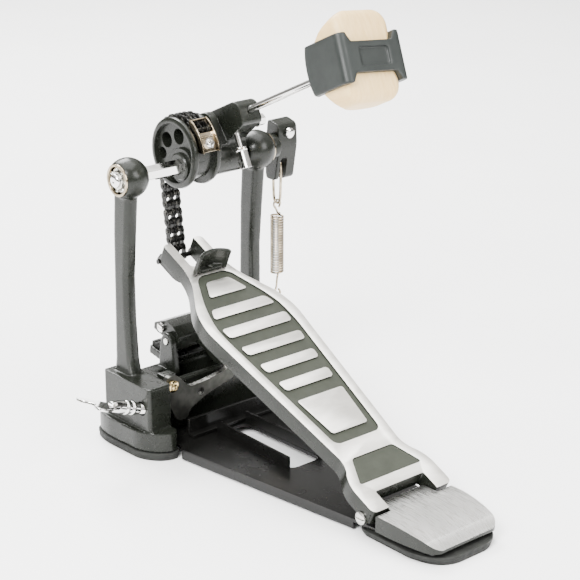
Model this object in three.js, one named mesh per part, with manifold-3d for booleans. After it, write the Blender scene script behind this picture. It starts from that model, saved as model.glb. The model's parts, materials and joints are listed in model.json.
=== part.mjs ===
// Bass drum pedal: a chain driven kick pedal with a hoop clamp, a cast footboard and a wooden beater.
// Millimetres. X runs across the pedal to the player's right, Y from the heel towards the drum, Z up.
// The origin is on the floor, on the centre line, under the front edge of the heel plate.

import * as THREE from "three";
import { mergeVertices } from "three/addons/utils/BufferGeometryUtils.js";
import Module from "manifold-3d";

const wasm = await Module();
wasm.setup();

// ---- driving dimensions -------------------------------------------------------------------------

const GAP = 0.3; // clearance between neighbours that touch on the real object

const SHAFT_Y = 222; // axle axis, along X
const SHAFT_Z = 190;
const HEX_FLATS = 9.5; // axle width across its flats
const JOURNAL_R = 4; // axle radius inside the bearings
const HOUSING_X = 55; // centre of each bearing housing
const HOUSING_R = 14;
const HOUSING_FACE_X = 64.4; // outer face of each housing
const BEARING_R = 11; // 22 mm ball bearing, 7 mm wide
const BEARING_WIDTH = 6.6;

const BOARD_TOP_Z = 19; // height of the footboard's top plane above the origin
const BOARD_SLOPE = 25.4; // degrees above the floor at rest
const BOARD_DEPTH = 11; // top plane to the bottom of the side skirts
const BOARD_SKIN = 4.5; // thickness between the skirts
const PANEL_DEPTH = 1.2; // how far the painted panel lies below the polished tops
const PRONG_GAP = 10; // half the space between the two toe prongs
const PRONG_END = 262;
const HINGE_Y = 15; // heel hinge axis, along X
const HINGE_Z = 14;

const CAM_OFFSET_Y = 7.8; // wheel centre from the axle axis
const CAM_OFFSET_Z = 7.6;
const CAM_FLANGE_R = 24.7;
const CAM_CORE_R = 20;
const CAM_NEAR_X = -12;
const CAM_FAR_X = 11.5;
const CAM_FLANGE = 4;

const CHAIN_PITCH = 6.35;
const CHAIN_PITCH_R = 23.5; // radius of the chain's centre line on the wheel
const CHAIN_HALF = 2.9; // half the height of a link plate
const CHAIN_WIDTH = 13;
const CHAIN_LEAN = 8.3; // degrees from vertical of the hanging run
const TOE_PIN_Y = 242;
const TOE_PIN_Z = 118;
const TOE_PIN_R = 1.8;

const ROD_X = 33;
const ROD_R = 2.5;
const ROD_RISE = 25.5; // degrees above the floor, pointing at the player
const ROD_OFFSET = 23.8; // rod axis from the axle axis
const HEAD_X = 22; // half width of the wooden head
const HEAD_LOW = -27.5; // its two flat sides, from the rod
const HEAD_HIGH = 31.5;
const HEAD_R = 33; // round that trims its corners
const HEAD_NEAR = 131; // head's inner face along the rod
const HEAD_FAR = 163;
const STRAP = 4; // thickness of the moulded strap

const SPRING_X = 78;
const SPRING_Y = 226;
const SPRING_R = 4.4; // coil centre line
const SPRING_WIRE_R = 0.7;
const SPRING_BOTTOM = 92;
const SPRING_TOP = 137;
const ANCHOR_Z = 76; // lower hook's pivot
const ROCKER_PIN_Z = 173;

const PLATE_BOTTOM = 5.8;
const PLATE_TOP = 8;
const PAD_TOP = 5.5;

const JAW_PIVOT_Y = 228;
const JAW_PIVOT_Z = 64;
const JAW_HALF = 17;
const JAW_TILT = 10; // degrees that the hoop gap rises towards the drum

const LEVER_Y = 199; // mid plane of the clamp lever
const LEVER_X = -41.6; // lever pivot, along Y
const LEVER_Z = 46;
const SCREW_TILT = 19.6; // degrees that the wing bolt rises outwards
const SCREW_TIP_X = -44.5;
const SCREW_TIP_Z = 27.6;
const BARREL_R = 4.3; // plain part of the wing bolt
const WING_TURN = 92; // degrees that the wing lies over from upright at rest

// ---- materials ----------------------------------------------------------------------------------

const finish = (color, roughness, metalness) =>
  new THREE.MeshStandardMaterial({ color, roughness, metalness });
const PAINT = () => finish(0x3a3c38, 0.45, 0.3);
const ALUMINIUM = () => finish(0xc9c6be, 0.35, 1);
const CHROME = () => finish(0xdedede, 0.12, 1);
const STEEL = () => finish(0xb4b2ac, 0.3, 1);
const BLACK_STEEL = () => finish(0x1d1e1d, 0.4, 0.7);
const BRASS = () => finish(0xc2a56a, 0.3, 1);
const RUBBER = () => finish(0x1a1a1a, 0.85, 0);
const WOOD = () => finish(0xe9d3ac, 0.5, 0);
const PLASTIC = () => finish(0x5b6063, 0.5, 0);

// ---- helpers ------------------------------------------------------------------------------------

const pedal = new THREE.Group();
const rad = THREE.MathUtils.degToRad;
const shaftPoint = (y, z) => [SHAFT_Y + y, SHAFT_Z + z];

// A closed geometry as a solid that can be joined and cut.
function solid(geometry) {
  const plain = geometry.index ? geometry.toNonIndexed() : geometry.clone();
  plain.deleteAttribute("normal");
  plain.deleteAttribute("uv");
  const merged = mergeVertices(plain, 1e-4);
  const vertProperties = new Float32Array(merged.attributes.position.array);
  const corners = merged.index.array;
  const kept = [];
  for (let i = 0; i < corners.length; i += 3) {
    const [a, b, c] = corners.slice(i, i + 3);
    if (a !== b && b !== c && c !== a) kept.push(a, b, c);
  }
  const triVerts = new Uint32Array(kept);
  return new wasm.Manifold(new wasm.Mesh({ numProp: 3, vertProperties, triVerts }));
}

// The solid's triangles as a geometry again.
function geometryOf(manifold) {
  const mesh = manifold.getMesh();
  const geometry = new THREE.BufferGeometry();
  geometry.setAttribute("position", new THREE.BufferAttribute(new Float32Array(mesh.vertProperties), 3));
  geometry.setIndex(new THREE.BufferAttribute(new Uint32Array(mesh.triVerts), 1));
  return geometry;
}

const join = (...geometries) => geometryOf(geometries.map(solid).reduce((a, b) => a.add(b)));
const cut = (body, ...tools) => geometryOf(tools.map(solid).reduce((a, b) => a.subtract(b), solid(body)));
const common = (a, b) => geometryOf(solid(a).intersect(solid(b)));

function add(name, geometry, material, group = pedal) {
  const mesh = new THREE.Mesh(geometry, material);
  mesh.name = name;
  group.add(mesh);
  return mesh;
}

function box(x0, x1, y0, y1, z0, z1) {
  const geometry = new THREE.BoxGeometry(x1 - x0, y1 - y0, z1 - z0);
  return geometry.translate((x0 + x1) / 2, (y0 + y1) / 2, (z0 + z1) / 2);
}

// A cylinder from one point to another.
function bar(radius, from, to, sides = 16, endRadius = radius) {
  const start = new THREE.Vector3(...from);
  const end = new THREE.Vector3(...to);
  const length = start.distanceTo(end);
  const geometry = new THREE.CylinderGeometry(endRadius, radius, length, sides);
  const turn = new THREE.Quaternion().setFromUnitVectors(
    new THREE.Vector3(0, 1, 0),
    end.clone().sub(start).normalize(),
  );
  geometry.applyQuaternion(turn);
  return geometry.translate((from[0] + to[0]) / 2, (from[1] + to[1]) / 2, (from[2] + to[2]) / 2);
}

const barX = (radius, x0, x1, y, z, sides = 16) => bar(radius, [x0, y, z], [x1, y, z], sides);

// A ring along X round the point (y, z).
function ringX(inner, outer, x0, x1, y, z, sides = 28) {
  return cut(barX(outer, x0, x1, y, z, sides), barX(inner, x0 - 1, x1 + 1, y, z, sides));
}

function outline(points) {
  return new THREE.Shape(points.map(([a, b]) => new THREE.Vector2(a, b)));
}

// An outline in the Y-Z plane, as thick as x0 to x1, with rounded edges if bevel is given.
function slabX(shape, x0, x1, bevel = 0, curveSegments = 4) {
  const geometry = new THREE.ExtrudeGeometry(shape, {
    depth: x1 - x0 - 2 * bevel,
    bevelEnabled: bevel > 0,
    bevelThickness: bevel,
    bevelSize: bevel,
    bevelOffset: -bevel,
    bevelSegments: 1,
    curveSegments,
  });
  geometry.applyMatrix4(
    new THREE.Matrix4().makeBasis(
      new THREE.Vector3(0, 1, 0),
      new THREE.Vector3(0, 0, 1),
      new THREE.Vector3(1, 0, 0),
    ),
  );
  return geometry.translate(x0 + bevel, 0, 0);
}

// An outline in the X-Z plane, as thick as y0 to y1.
function slabY(shape, y0, y1, curveSegments = 3) {
  const geometry = new THREE.ExtrudeGeometry(shape, { depth: y1 - y0, bevelEnabled: false, curveSegments });
  geometry.rotateX(Math.PI / 2);
  return geometry.translate(0, y1, 0);
}

// An outline in the X-Y plane, as thick as z0 to z1.
function slabZ(shape, z0, z1, curveSegments = 4) {
  const geometry = new THREE.ExtrudeGeometry(shape, { depth: z1 - z0, bevelEnabled: false, curveSegments });
  return geometry.translate(0, 0, z0);
}

// A polygon with every corner rounded to the given radius.
function rounded(points, radius) {
  const shape = new THREE.Shape();
  points.forEach((corner, i) => {
    const before = points[(i + points.length - 1) % points.length];
    const after = points[(i + 1) % points.length];
    const towards = (target) => {
      const length = Math.hypot(target[0] - corner[0], target[1] - corner[1]);
      const step = Math.min(radius, length / 2.2) / length;
      return [corner[0] + (target[0] - corner[0]) * step, corner[1] + (target[1] - corner[1]) * step];
    };
    const enter = towards(before);
    const leave = towards(after);
    if (i === 0) shape.moveTo(...enter);
    else shape.lineTo(...enter);
    shape.quadraticCurveTo(corner[0], corner[1], ...leave);
  });
  shape.closePath();
  return shape;
}

// A wire along a curve through the given points.
function wire(points, radius, steps, closed = false, sides = 8) {
  const path = new THREE.CatmullRomCurve3(points.map((p) => new THREE.Vector3(...p)), closed);
  const section = new THREE.Shape();
  section.absarc(0, 0, radius, 0, 2 * Math.PI);
  return new THREE.ExtrudeGeometry(section, {
    steps,
    extrudePath: path,
    bevelEnabled: false,
    curveSegments: sides / 2,
  });
}

// ---- base ---------------------------------------------------------------------------------------

const HEEL_END = -41; // back of the heel plate
const PLATE_FRONT = 236;
const CASTING_X = 47; // inner side of each upright's foot

const mirrored = (half) => [...half, ...half.map(([x, y]) => [-x, y]).reverse()];
const EDGE = [
  // half width and distance from the origin
  [26, HEEL_END + 2],
  [30, 10],
  [31, 24],
  [50, 178],
  [46, 179],
  [46, PLATE_FRONT],
];

function basePlate() {
  const edge = mirrored(EDGE);
  const sheet = slabZ(rounded(edge, 3), PLATE_BOTTOM, PLATE_TOP);
  const slot = slabZ(rounded(mirrored([[13, 105], [11.5, 182]]), 5), PLATE_BOTTOM - 1, PLATE_TOP + 1);
  const parts = [];
  for (const side of [-1, 1]) {
    const flange = outline([
      [31 * side, 26],
      [50 * side, 176],
      [48 * side, 176],
      [29 * side, 26],
    ]);
    parts.push(slabZ(flange, 1.2, PLATE_TOP - 1));
    const upstand = outline([
      [15 * side, 106],
      [13.5 * side, 183],
      [12 * side, 183],
      [13.5 * side, 106],
    ]);
    parts.push(slabZ(upstand, PLATE_BOTTOM + 1, PLATE_TOP + 8.5));
  }
  return cut(join(sheet, ...parts), slot);
}

const HEEL_PAD = [
  [30.5, 23],
  [30.5, -30],
  [20, -47],
];
const heelPad = () => slabZ(rounded(mirrored(HEEL_PAD), 10), 0, PAD_TOP);

function heelPlate() {
  const profile = new THREE.Shape();
  profile.moveTo(4, PLATE_TOP + GAP);
  profile.lineTo(4, BOARD_TOP_Z);
  profile.quadraticCurveTo(-22, BOARD_TOP_Z + 0.5, HEEL_END, 12);
  profile.quadraticCurveTo(HEEL_END - 3, 10, HEEL_END - 2, PLATE_TOP + GAP);
  profile.closePath();
  const block = slabX(profile, -33, 33);
  const edge = mirrored([
    [33, 5],
    [33, -20],
    [27, HEEL_END - 2],
  ]);
  const plan = slabZ(rounded(edge, 7), 0, 40);
  const knuckle = barX(5, -20.5, 20.5, HINGE_Y, HINGE_Z, 20);
  const web = box(-20.5, 20.5, 2, HINGE_Y, PLATE_TOP + 0.9, HINGE_Z + 2);
  const bore = barX(3 + GAP, -40, 40, HINGE_Y, HINGE_Z, 16);
  return cut(join(common(block, plan), knuckle, web), bore);
}

const hingePin = () =>
  join(
    barX(3, -34.6, 34.6, HINGE_Y, HINGE_Z, 16),
    barX(4.4, -36.6, -34.6, HINGE_Y, HINGE_Z, 16),
    barX(4.4, 34.6, 36.6, HINGE_Y, HINGE_Z, 16),
  );

const footOutline = (side, grow = 0) =>
  rounded(
    [
      [(CASTING_X - grow) * side, 180 - grow],
      [(60 + grow) * side, 182 - grow],
      [(70 + grow) * side, 196 - grow],
      [(71 + grow) * side, 236],
      [(66 + grow) * side, 251 + grow],
      [(CASTING_X - grow) * side, 251 + grow],
    ],
    7,
  );

function footPad(side) {
  return slabZ(footOutline(side, 0.6), 0, PAD_TOP);
}

add("base_plate", basePlate(), BLACK_STEEL());
add("heel_pad", heelPad(), RUBBER());
add("left_foot_pad", footPad(-1), RUBBER());
add("right_foot_pad", footPad(1), RUBBER());
add("heel_plate", heelPlate(), ALUMINIUM());
add("heel_hinge_pin", hingePin(), STEEL());

// ---- uprights and bearings ----------------------------------------------------------------------

const POST_INNER_X = 50;
const POST_OUTER_X = 60;
const BOX_TOP = 51;

function upright(side) {
  const post = new THREE.Shape();
  post.moveTo(215, 44);
  post.quadraticCurveTo(220.5, 60, 222, 80);
  post.quadraticCurveTo(224, 115, 219, 150);
  post.lineTo(215, 188);
  post.lineTo(233, 188);
  post.quadraticCurveTo(235.5, 150, 235.8, 110);
  post.lineTo(237, 60);
  post.lineTo(239, 44);
  post.closePath();
  const spread = (inner, outer) => (side > 0 ? [inner, outer] : [-outer, -inner]);
  const stem = slabX(post, ...spread(POST_INNER_X, POST_OUTER_X), 3, 6);
  const ball = new THREE.SphereGeometry(HOUSING_R, 22, 14);
  ball.translate(side * HOUSING_X, SHAFT_Y, SHAFT_Z);
  const trim = barX(20, ...spread(HOUSING_X - 11, HOUSING_FACE_X), SHAFT_Y, SHAFT_Z);
  const foot = slabZ(footOutline(side), PAD_TOP + GAP, 20);
  const tower = box(...spread(CASTING_X, 66), 190, 242, 18, BOX_TOP);
  const seatFrom = HOUSING_FACE_X - BEARING_WIDTH - 0.5;
  const seat = barX(BEARING_R + GAP, ...spread(seatFrom, 80), SHAFT_Y, SHAFT_Z, 32);
  const bore = barX(7.5, ...spread(30, 80), SHAFT_Y, SHAFT_Z, 24);
  const cavity = box(...spread(CASTING_X - 1, 62), 193.5, 213, 14, 47);
  const body = join(stem, common(ball, trim), foot, tower);
  if (side > 0) return cut(body, seat, bore, cavity);
  return cut(body, seat, bore, cavity, screwBar(BARREL_R + GAP + 0.2, 10, 40, 20));
}

// A bar on the wing bolt's axis, from and to in millimetres outwards from its tip.
function screwBar(radius, from, to, sides = 20, endRadius = radius) {
  const point = (s) => [
    SCREW_TIP_X - s * Math.cos(rad(SCREW_TILT)),
    LEVER_Y,
    SCREW_TIP_Z + s * Math.sin(rad(SCREW_TILT)),
  ];
  return bar(radius, point(from), point(to), sides, endRadius);
}

function bearingOuter(side) {
  const face = side * (HOUSING_FACE_X - 0.2);
  const back = side * (HOUSING_FACE_X - 0.2 - BEARING_WIDTH);
  return ringX(9.3, BEARING_R, Math.min(face, back), Math.max(face, back), SHAFT_Y, SHAFT_Z, 32);
}

function bearingInner(side) {
  const face = side * (HOUSING_FACE_X - 0.2);
  const back = side * (HOUSING_FACE_X - 0.2 - BEARING_WIDTH);
  return ringX(JOURNAL_R + GAP, 6, Math.min(face, back), Math.max(face, back), SHAFT_Y, SHAFT_Z, 24);
}

function bearingCage(side) {
  const middle = side * (HOUSING_FACE_X - 0.2 - BEARING_WIDTH / 2);
  const band = ringX(6.9, 8.4, middle - 1.6, middle + 1.6, SHAFT_Y, SHAFT_Z, 21);
  const balls = [0, 1, 2, 3, 4, 5, 6].map((i) => {
    const angle = (2 * Math.PI * i) / 7;
    const ball = new THREE.SphereGeometry(1.3, 6, 4);
    const [y, z] = shaftPoint(7.65 * Math.cos(angle), 7.65 * Math.sin(angle));
    return ball.translate(middle - side * 1.2, y, z);
  });
  return join(band, ...balls);
}

for (const [name, side] of [["left", -1], ["right", 1]]) {
  add(`${name}_upright`, upright(side), PAINT());
  add(`${name}_bearing_outer`, bearingOuter(side), STEEL());
  add(`${name}_bearing_inner`, bearingInner(side), STEEL());
  add(`${name}_bearing_cage`, bearingCage(side), STEEL());
}

// ---- axle and cam wheel -------------------------------------------------------------------------

const HEX_END_X = 44; // the hexagon stops short of each bearing
const AXLE_END_X = 88;
const hexRadius = HEX_FLATS / 2 / Math.cos(Math.PI / 6);

function axle() {
  const hexagon = barX(hexRadius, -HEX_END_X, HEX_END_X, SHAFT_Y, SHAFT_Z, 6);
  const journal = barX(JOURNAL_R, -HOUSING_FACE_X, AXLE_END_X, SHAFT_Y, SHAFT_Z, 24);
  return join(hexagon, journal);
}

function hexBore(x0, x1) {
  return barX(hexRadius + 0.35, x0, x1, SHAFT_Y, SHAFT_Z, 6);
}

const CAM_Y = SHAFT_Y + CAM_OFFSET_Y;
const CAM_Z = SHAFT_Z + CAM_OFFSET_Z;
const camPoint = (radius, degrees) => [
  CAM_Y + radius * Math.cos(rad(degrees)),
  CAM_Z + radius * Math.sin(rad(degrees)),
];

function camWheel() {
  const near = barX(CAM_FLANGE_R, CAM_NEAR_X, CAM_NEAR_X + CAM_FLANGE, CAM_Y, CAM_Z, 36);
  const far = barX(CAM_FLANGE_R, CAM_FAR_X - CAM_FLANGE, CAM_FAR_X, CAM_Y, CAM_Z, 36);
  const core = barX(CAM_CORE_R, CAM_NEAR_X + 1, CAM_FAR_X - 1, CAM_Y, CAM_Z, 30);
  const dish = barX(CAM_FLANGE_R - 4.5, CAM_NEAR_X - 1, CAM_NEAR_X + 3, CAM_Y, CAM_Z, 30);
  const hub = barX(9.5, CAM_NEAR_X - 1.5, CAM_FAR_X, SHAFT_Y, SHAFT_Z, 28);
  const holes = [10, 54, 98, 142].map((angle) => {
    const [y, z] = camPoint(13.5, angle);
    return barX(3.9, CAM_NEAR_X - 1, CAM_FAR_X + 1, y, z, 12);
  });
  return cut(join(cut(join(near, far, core), dish), hub), ...holes, hexBore(-30, 30));
}

// A block that follows the wheel's rim from one angle to another.
function rimSector(inner, outer, fromAngle, toAngle, x0, x1, steps) {
  const turn = (toAngle - fromAngle) / steps;
  const angles = Array.from({ length: steps + 1 }, (_, i) => fromAngle + turn * i);
  const out = angles.map((a) => camPoint(outer, a));
  const back = angles.map((a) => camPoint(inner, a)).reverse();
  return slabX(outline([...out, ...back]), x0, x1);
}

// A link plate outline between two chain pivots.
function linkOutline([y0, z0], [y1, z1], half = CHAIN_HALF) {
  const angle = Math.atan2(z1 - z0, y1 - y0);
  const shape = new THREE.Shape();
  shape.absarc(y1, z1, half, angle - Math.PI / 2, angle + Math.PI / 2);
  shape.absarc(y0, z0, half, angle + Math.PI / 2, angle + 1.5 * Math.PI);
  shape.closePath();
  return shape;
}

const pitchAngle = THREE.MathUtils.radToDeg(CHAIN_PITCH / CHAIN_PITCH_R);
// Pivot 0 is where the hanging run leaves the wheel, and pivot 4 is the first that stays on it.
const chainPivot = (k) => camPoint(CHAIN_PITCH_R, -CHAIN_LEAN + k * pitchAngle);
const INNER_HALF = 3.8; // half the width of an inner link
const PLATE_FROM = 4.2; // outer plates lie outside the inner links

function innerLink(from, to) {
  const body = slabX(linkOutline(from, to), -INNER_HALF, INNER_HALF, 0, 4);
  const holes = [from, to].map(([y, z]) => barX(1.5, -9, 9, y, z, 12));
  return cut(body, ...holes);
}

function outerLink(from, to) {
  const edge = CHAIN_WIDTH / 2;
  const plates = [
    slabX(linkOutline(from, to), -edge, -PLATE_FROM, 0, 4),
    slabX(linkOutline(from, to), PLATE_FROM, edge, 0, 4),
  ];
  const pins = [from, to].map(([y, z]) => barX(1.1, -edge, edge, y, z, 12));
  return join(...plates, ...pins);
}

const ANCHOR_FROM = 119;
const ANCHOR_TO = 171;

function wrappedChain() {
  const start = -CHAIN_LEAN + 4.6 * pitchAngle;
  const block = rimSector(CAM_CORE_R + 0.5, 26.4, start, ANCHOR_FROM - 1.5, -6.5, 6.5, 10);
  const end = outerLink(chainPivot(4), chainPivot(5));
  return join(block, end);
}

function chainAnchor() {
  const block = rimSector(CAM_CORE_R + 0.5, 25.5, ANCHOR_FROM, ANCHOR_TO, -7.1, 7.1, 8);
  const plate = rimSector(24.5, 27, ANCHOR_FROM, ANCHOR_TO, -7.1, 7.1, 8);
  const rails = [-7.1, 5.9].map((x0) => rimSector(24.5, 28.6, ANCHOR_FROM, ANCHOR_TO, x0, x0 + 1.2, 8));
  const [y0, z0] = camPoint(22, 152);
  const [y1, z1] = camPoint(30, 152);
  const bore = bar(1.8, [0, y0, z0], [0, y1, z1], 12);
  return cut(join(block, plate, ...rails), bore);
}

function anchorScrew() {
  const [y0, z0] = camPoint(22.5, 152);
  const [y1, z1] = camPoint(27.4, 152);
  const [y2, z2] = camPoint(29.4, 152);
  return join(bar(1.4, [0, y0, z0], [0, y2, z2], 12), bar(3, [0, y1, z1], [0, y2, z2], 16));
}

add("hex_shaft", axle(), CHROME());
const endScrew = () => barX(3.4, -HOUSING_FACE_X - 2.6, -HOUSING_FACE_X - GAP, SHAFT_Y, SHAFT_Z, 18);
add("shaft_end_screw", endScrew(), CHROME());
add("cam_wheel", camWheel(), PAINT());
add("wrapped_chain", wrappedChain(), BLACK_STEEL());
add("chain_anchor", chainAnchor(), CHROME());
add("chain_anchor_screw", anchorScrew(), CHROME());

add("chain_link_1", innerLink(chainPivot(4), chainPivot(3)), BLACK_STEEL());
add("chain_link_2", outerLink(chainPivot(3), chainPivot(2)), BLACK_STEEL());
add("chain_link_3", innerLink(chainPivot(2), chainPivot(1)), BLACK_STEEL());
add("chain_link_4", outerLink(chainPivot(1), chainPivot(0)), BLACK_STEEL());

// The hanging run: an inner link at the top, then full width down to just above the toe pin.
function chainDrop() {
  const [topY, topZ] = chainPivot(0);
  const length = Math.hypot(topY - TOE_PIN_Y, topZ - TOE_PIN_Z);
  const stepY = (TOE_PIN_Y - topY) / length;
  const stepZ = (TOE_PIN_Z - topZ) / length;
  const along = (s) => [topY + stepY * s, topZ + stepZ * s];
  const count = Math.floor(length / CHAIN_PITCH) - 1;
  const links = [innerLink(along(0), along(CHAIN_PITCH))];
  for (let i = 1; i < count; i += 1) {
    const wide = i % 2 ? CHAIN_WIDTH / 2 : CHAIN_WIDTH / 2 - 0.8;
    const edge = linkOutline(along(i * CHAIN_PITCH), along((i + 1) * CHAIN_PITCH));
    links.push(slabX(edge, -wide, wide, 0, 3));
  }
  const end = length - TOE_PIN_R - 0.6 - CHAIN_HALF;
  links.push(slabX(linkOutline(along(count * CHAIN_PITCH), along(end)), -5.7, 5.7, 0, 4));
  return join(...links);
}

add("chain_drop", chainDrop(), BLACK_STEEL());

// ---- beater -------------------------------------------------------------------------------------

// Points on the plane of the rod: a along the rod from the foot of its perpendicular, b away from the axle.
const rodAlong = [-Math.cos(rad(ROD_RISE)), Math.sin(rad(ROD_RISE))];
const rodAcross = [Math.sin(rad(ROD_RISE)), Math.cos(rad(ROD_RISE))];
const rodPoint = (a, b) =>
  shaftPoint(a * rodAlong[0] + b * rodAcross[0], a * rodAlong[1] + b * rodAcross[1]);
const rodBar = (radius, a0, a1, sides = 20, b = ROD_OFFSET, x = ROD_X) =>
  bar(radius, [x, ...rodPoint(a0, b)], [x, ...rodPoint(a1, b)], sides);

// A block square to the rod.
function rodBox(x0, x1, a0, a1, b0, b1) {
  return slabX(outline([rodPoint(a0, b0), rodPoint(a0, b1), rodPoint(a1, b1), rodPoint(a1, b0)]), x0, x1);
}

const EAR = [
  // along and away from the rod's foot
  [-11, 0],
  [-9, 24],
  [6, 33],
  [18, 28],
  [11, 0],
  [0, -11],
];
const TOWER = [
  [-9, 0],
  [-5, 32],
  [30, 32],
  [34, 28],
  [34, 15],
  [11, 9],
  [9, 0],
];
const squareToRod = (points, radius) => rounded(points.map(([a, b]) => rodPoint(a, b)), radius);

function beaterHub() {
  const collar = barX(11, CAM_FAR_X + GAP, 40, SHAFT_Y, SHAFT_Z, 28);
  const ear = slabX(squareToRod(EAR, 6), CAM_FAR_X + GAP, CAM_FAR_X + 6);
  const tower = slabX(squareToRod(TOWER, 3), 24, 41, 1.5);
  return cut(
    join(collar, ear, tower),
    hexBore(0, 60),
    rodBar(ROD_R + GAP, -30, 60),
    bar(2.4, [27.5, ...rodPoint(19, 6)], [27.5, ...rodPoint(19, 16.4)], 14),
    barX(2.6, 37, 50, ...rodPoint(27, 16.6), 14),
  );
}

function keyBolt() {
  const at = (b) => [27.5, ...rodPoint(19, b)];
  const shank = bar(2, at(0), at(16), 14);
  const collar = bar(4.4, at(-1), at(1.6), 18);
  const head = rodBox(24.4, 30.6, 15.9, 22.1, -13, 0);
  return join(shank, collar, head);
}

function rodClampBolt() {
  const [y, z] = rodPoint(27, 16.6);
  return join(barX(2.2, 37.4, 46, y, z, 14), barX(4, 41.4, 47, y, z, 6));
}

// The wooden head's block, grown on every side.
function headBlock(grow) {
  const near = HEAD_NEAR - grow;
  const far = HEAD_FAR + grow;
  const low = ROD_OFFSET + HEAD_LOW - grow;
  const high = ROD_OFFSET + HEAD_HIGH + grow;
  const half = HEAD_X + grow;
  const block = rodBox(ROD_X - half, ROD_X + half, near, far, low, high);
  return common(rodBar(HEAD_R + grow, near, far, 40), block);
}

function headStrap() {
  const band = rodBox(-10, 80, HEAD_NEAR - 10, HEAD_FAR + 10, ROD_OFFSET - 10, ROD_OFFSET + 10);
  const flares = [[-10, ROD_X - 17], [ROD_X + 17, 80]].map(([x0, x1]) =>
    rodBox(x0, x1, HEAD_NEAR - 10, HEAD_FAR + 10, ROD_OFFSET - 16, ROD_OFFSET + 16),
  );
  const boss = rodBar(6.5, HEAD_NEAR - 12, HEAD_NEAR - 1, 20);
  const bore = rodBar(ROD_R + GAP, HEAD_NEAR - 20, HEAD_NEAR - 0.1, 16);
  const strap = common(headBlock(STRAP), join(band, ...flares));
  return cut(join(strap, boss), bore, headBlock(GAP));
}

add("beater_hub", beaterHub(), PAINT());
add("hub_key_bolt", keyBolt(), CHROME());
add("rod_clamp_bolt", rodClampBolt(), CHROME());
add("beater_rod", rodBar(ROD_R, -14, HEAD_NEAR - 1.5, 18), CHROME());
add("beater_head_wood", headBlock(0), WOOD());
add("beater_head_strap", headStrap(), PLASTIC());

// ---- return spring ------------------------------------------------------------------------------

const ROCKER_X0 = 72;
const ROCKER_X1 = 89;

function rocker() {
  const edge = [
    [217.5, 205],
    [229.5, 208],
    [232, 185],
    [231.5, 164],
    [221, 164],
    [216.5, 190],
  ];
  const side = rounded(edge, 3);
  const body = slabX(side, ROCKER_X0, ROCKER_X1, 1.2);
  return cut(
    body,
    barX(JOURNAL_R + GAP, 60, 100, SHAFT_Y, SHAFT_Z, 20),
    box(75, 81, 200, 240, 150, 181),
    barX(1.9, ROCKER_X0 + 1, ROCKER_X1 - 3, SPRING_Y, ROCKER_PIN_Z, 14),
    bar(2.6, [80.5, 210, 199], [80.5, 222, 199], 14),
  );
}

const linkRing = 3.4; // inner half width of the wire loops

function springLink() {
  const top = ROCKER_PIN_Z + 5.2;
  const low = SPRING_TOP + 9;
  const side = linkRing + 0.4;
  const points = [
    [SPRING_X, SPRING_Y, top],
    [SPRING_X, SPRING_Y - side, top - 4],
    [SPRING_X, SPRING_Y - side, (top + low) / 2],
    [SPRING_X, SPRING_Y - side, low + 4],
    [SPRING_X, SPRING_Y, low],
    [SPRING_X, SPRING_Y + side, low + 4],
    [SPRING_X, SPRING_Y + side, (top + low) / 2],
    [SPRING_X, SPRING_Y + side, top - 4],
  ];
  return wire(points, 1, 28, true, 6);
}

// A hook: an open ring across the given centre, with a shank that runs to the coil.
function hook(centre, ringR, shankTo, wireR) {
  const turn = Math.sign(centre - shankTo);
  const points = [];
  for (let i = 0; i <= 7; i += 1) {
    const angle = rad(-60 + 300 * (i / 7));
    points.push([SPRING_X + ringR * Math.cos(angle), SPRING_Y, centre + turn * ringR * Math.sin(angle)]);
  }
  points.push([SPRING_X, SPRING_Y, centre - turn * (ringR + 2)]);
  points.push([SPRING_X, SPRING_Y, shankTo]);
  return wire(points, wireR, 22, false, 6);
}

function coil(radius, wireR, bottom, top, turns, stepsPerTurn, x, y) {
  const points = [];
  for (let i = 0; i <= turns * stepsPerTurn; i += 1) {
    const angle = (2 * Math.PI * i) / stepsPerTurn;
    const height = bottom + wireR + ((top - bottom - 2 * wireR) * i) / (turns * stepsPerTurn);
    points.push([x + radius * Math.cos(angle), y + radius * Math.sin(angle), height]);
  }
  return wire(points, wireR, turns * stepsPerTurn, false, 6);
}

// The close-wound coil is a plain sleeve.
function springBody() {
  const profile = [
    [SPRING_R - 1.2, SPRING_BOTTOM],
    [SPRING_R + SPRING_WIRE_R, SPRING_BOTTOM],
    [SPRING_R + SPRING_WIRE_R, SPRING_TOP],
    [SPRING_R - 1.2, SPRING_TOP],
    [SPRING_R - 1.2, SPRING_BOTTOM],
  ];
  const geometry = new THREE.LatheGeometry(profile.map(([r, z]) => new THREE.Vector2(r, z)), 24);
  return geometry.rotateX(Math.PI / 2).translate(SPRING_X, SPRING_Y, 0);
}

function anchorArm() {
  const edge = [
    [POST_OUTER_X + GAP, 214],
    [POST_OUTER_X + GAP, 236],
    [80, 233],
    [85, 226],
    [80, 219],
  ];
  const arm = slabZ(rounded(edge, 4), 52, 60);
  return cut(arm, bar(3.3, [SPRING_X, SPRING_Y, 40], [SPRING_X, SPRING_Y, 70], 16));
}

function eyeBolt() {
  const ring = new THREE.TorusGeometry(3.4, 1.1, 8, 20).rotateY(Math.PI / 2);
  ring.translate(SPRING_X, SPRING_Y, ANCHOR_Z - 3.2);
  const shank = bar(2, [SPRING_X, SPRING_Y, 46], [SPRING_X, SPRING_Y, ANCHOR_Z - 7], 14);
  return join(shank, ring);
}

function nut(z0, z1) {
  const centre = [SPRING_X, SPRING_Y];
  const bore = bar(2.3, [...centre, z0 - 1], [...centre, z1 + 1], 14);
  return cut(bar(4.6, [...centre, z0], [...centre, z1], 6), bore);
}

function rockerWasher() {
  return ringX(JOURNAL_R + GAP, 9, HOUSING_FACE_X + 0.8, ROCKER_X0 - 1, SHAFT_Y, SHAFT_Z, 28);
}

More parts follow.
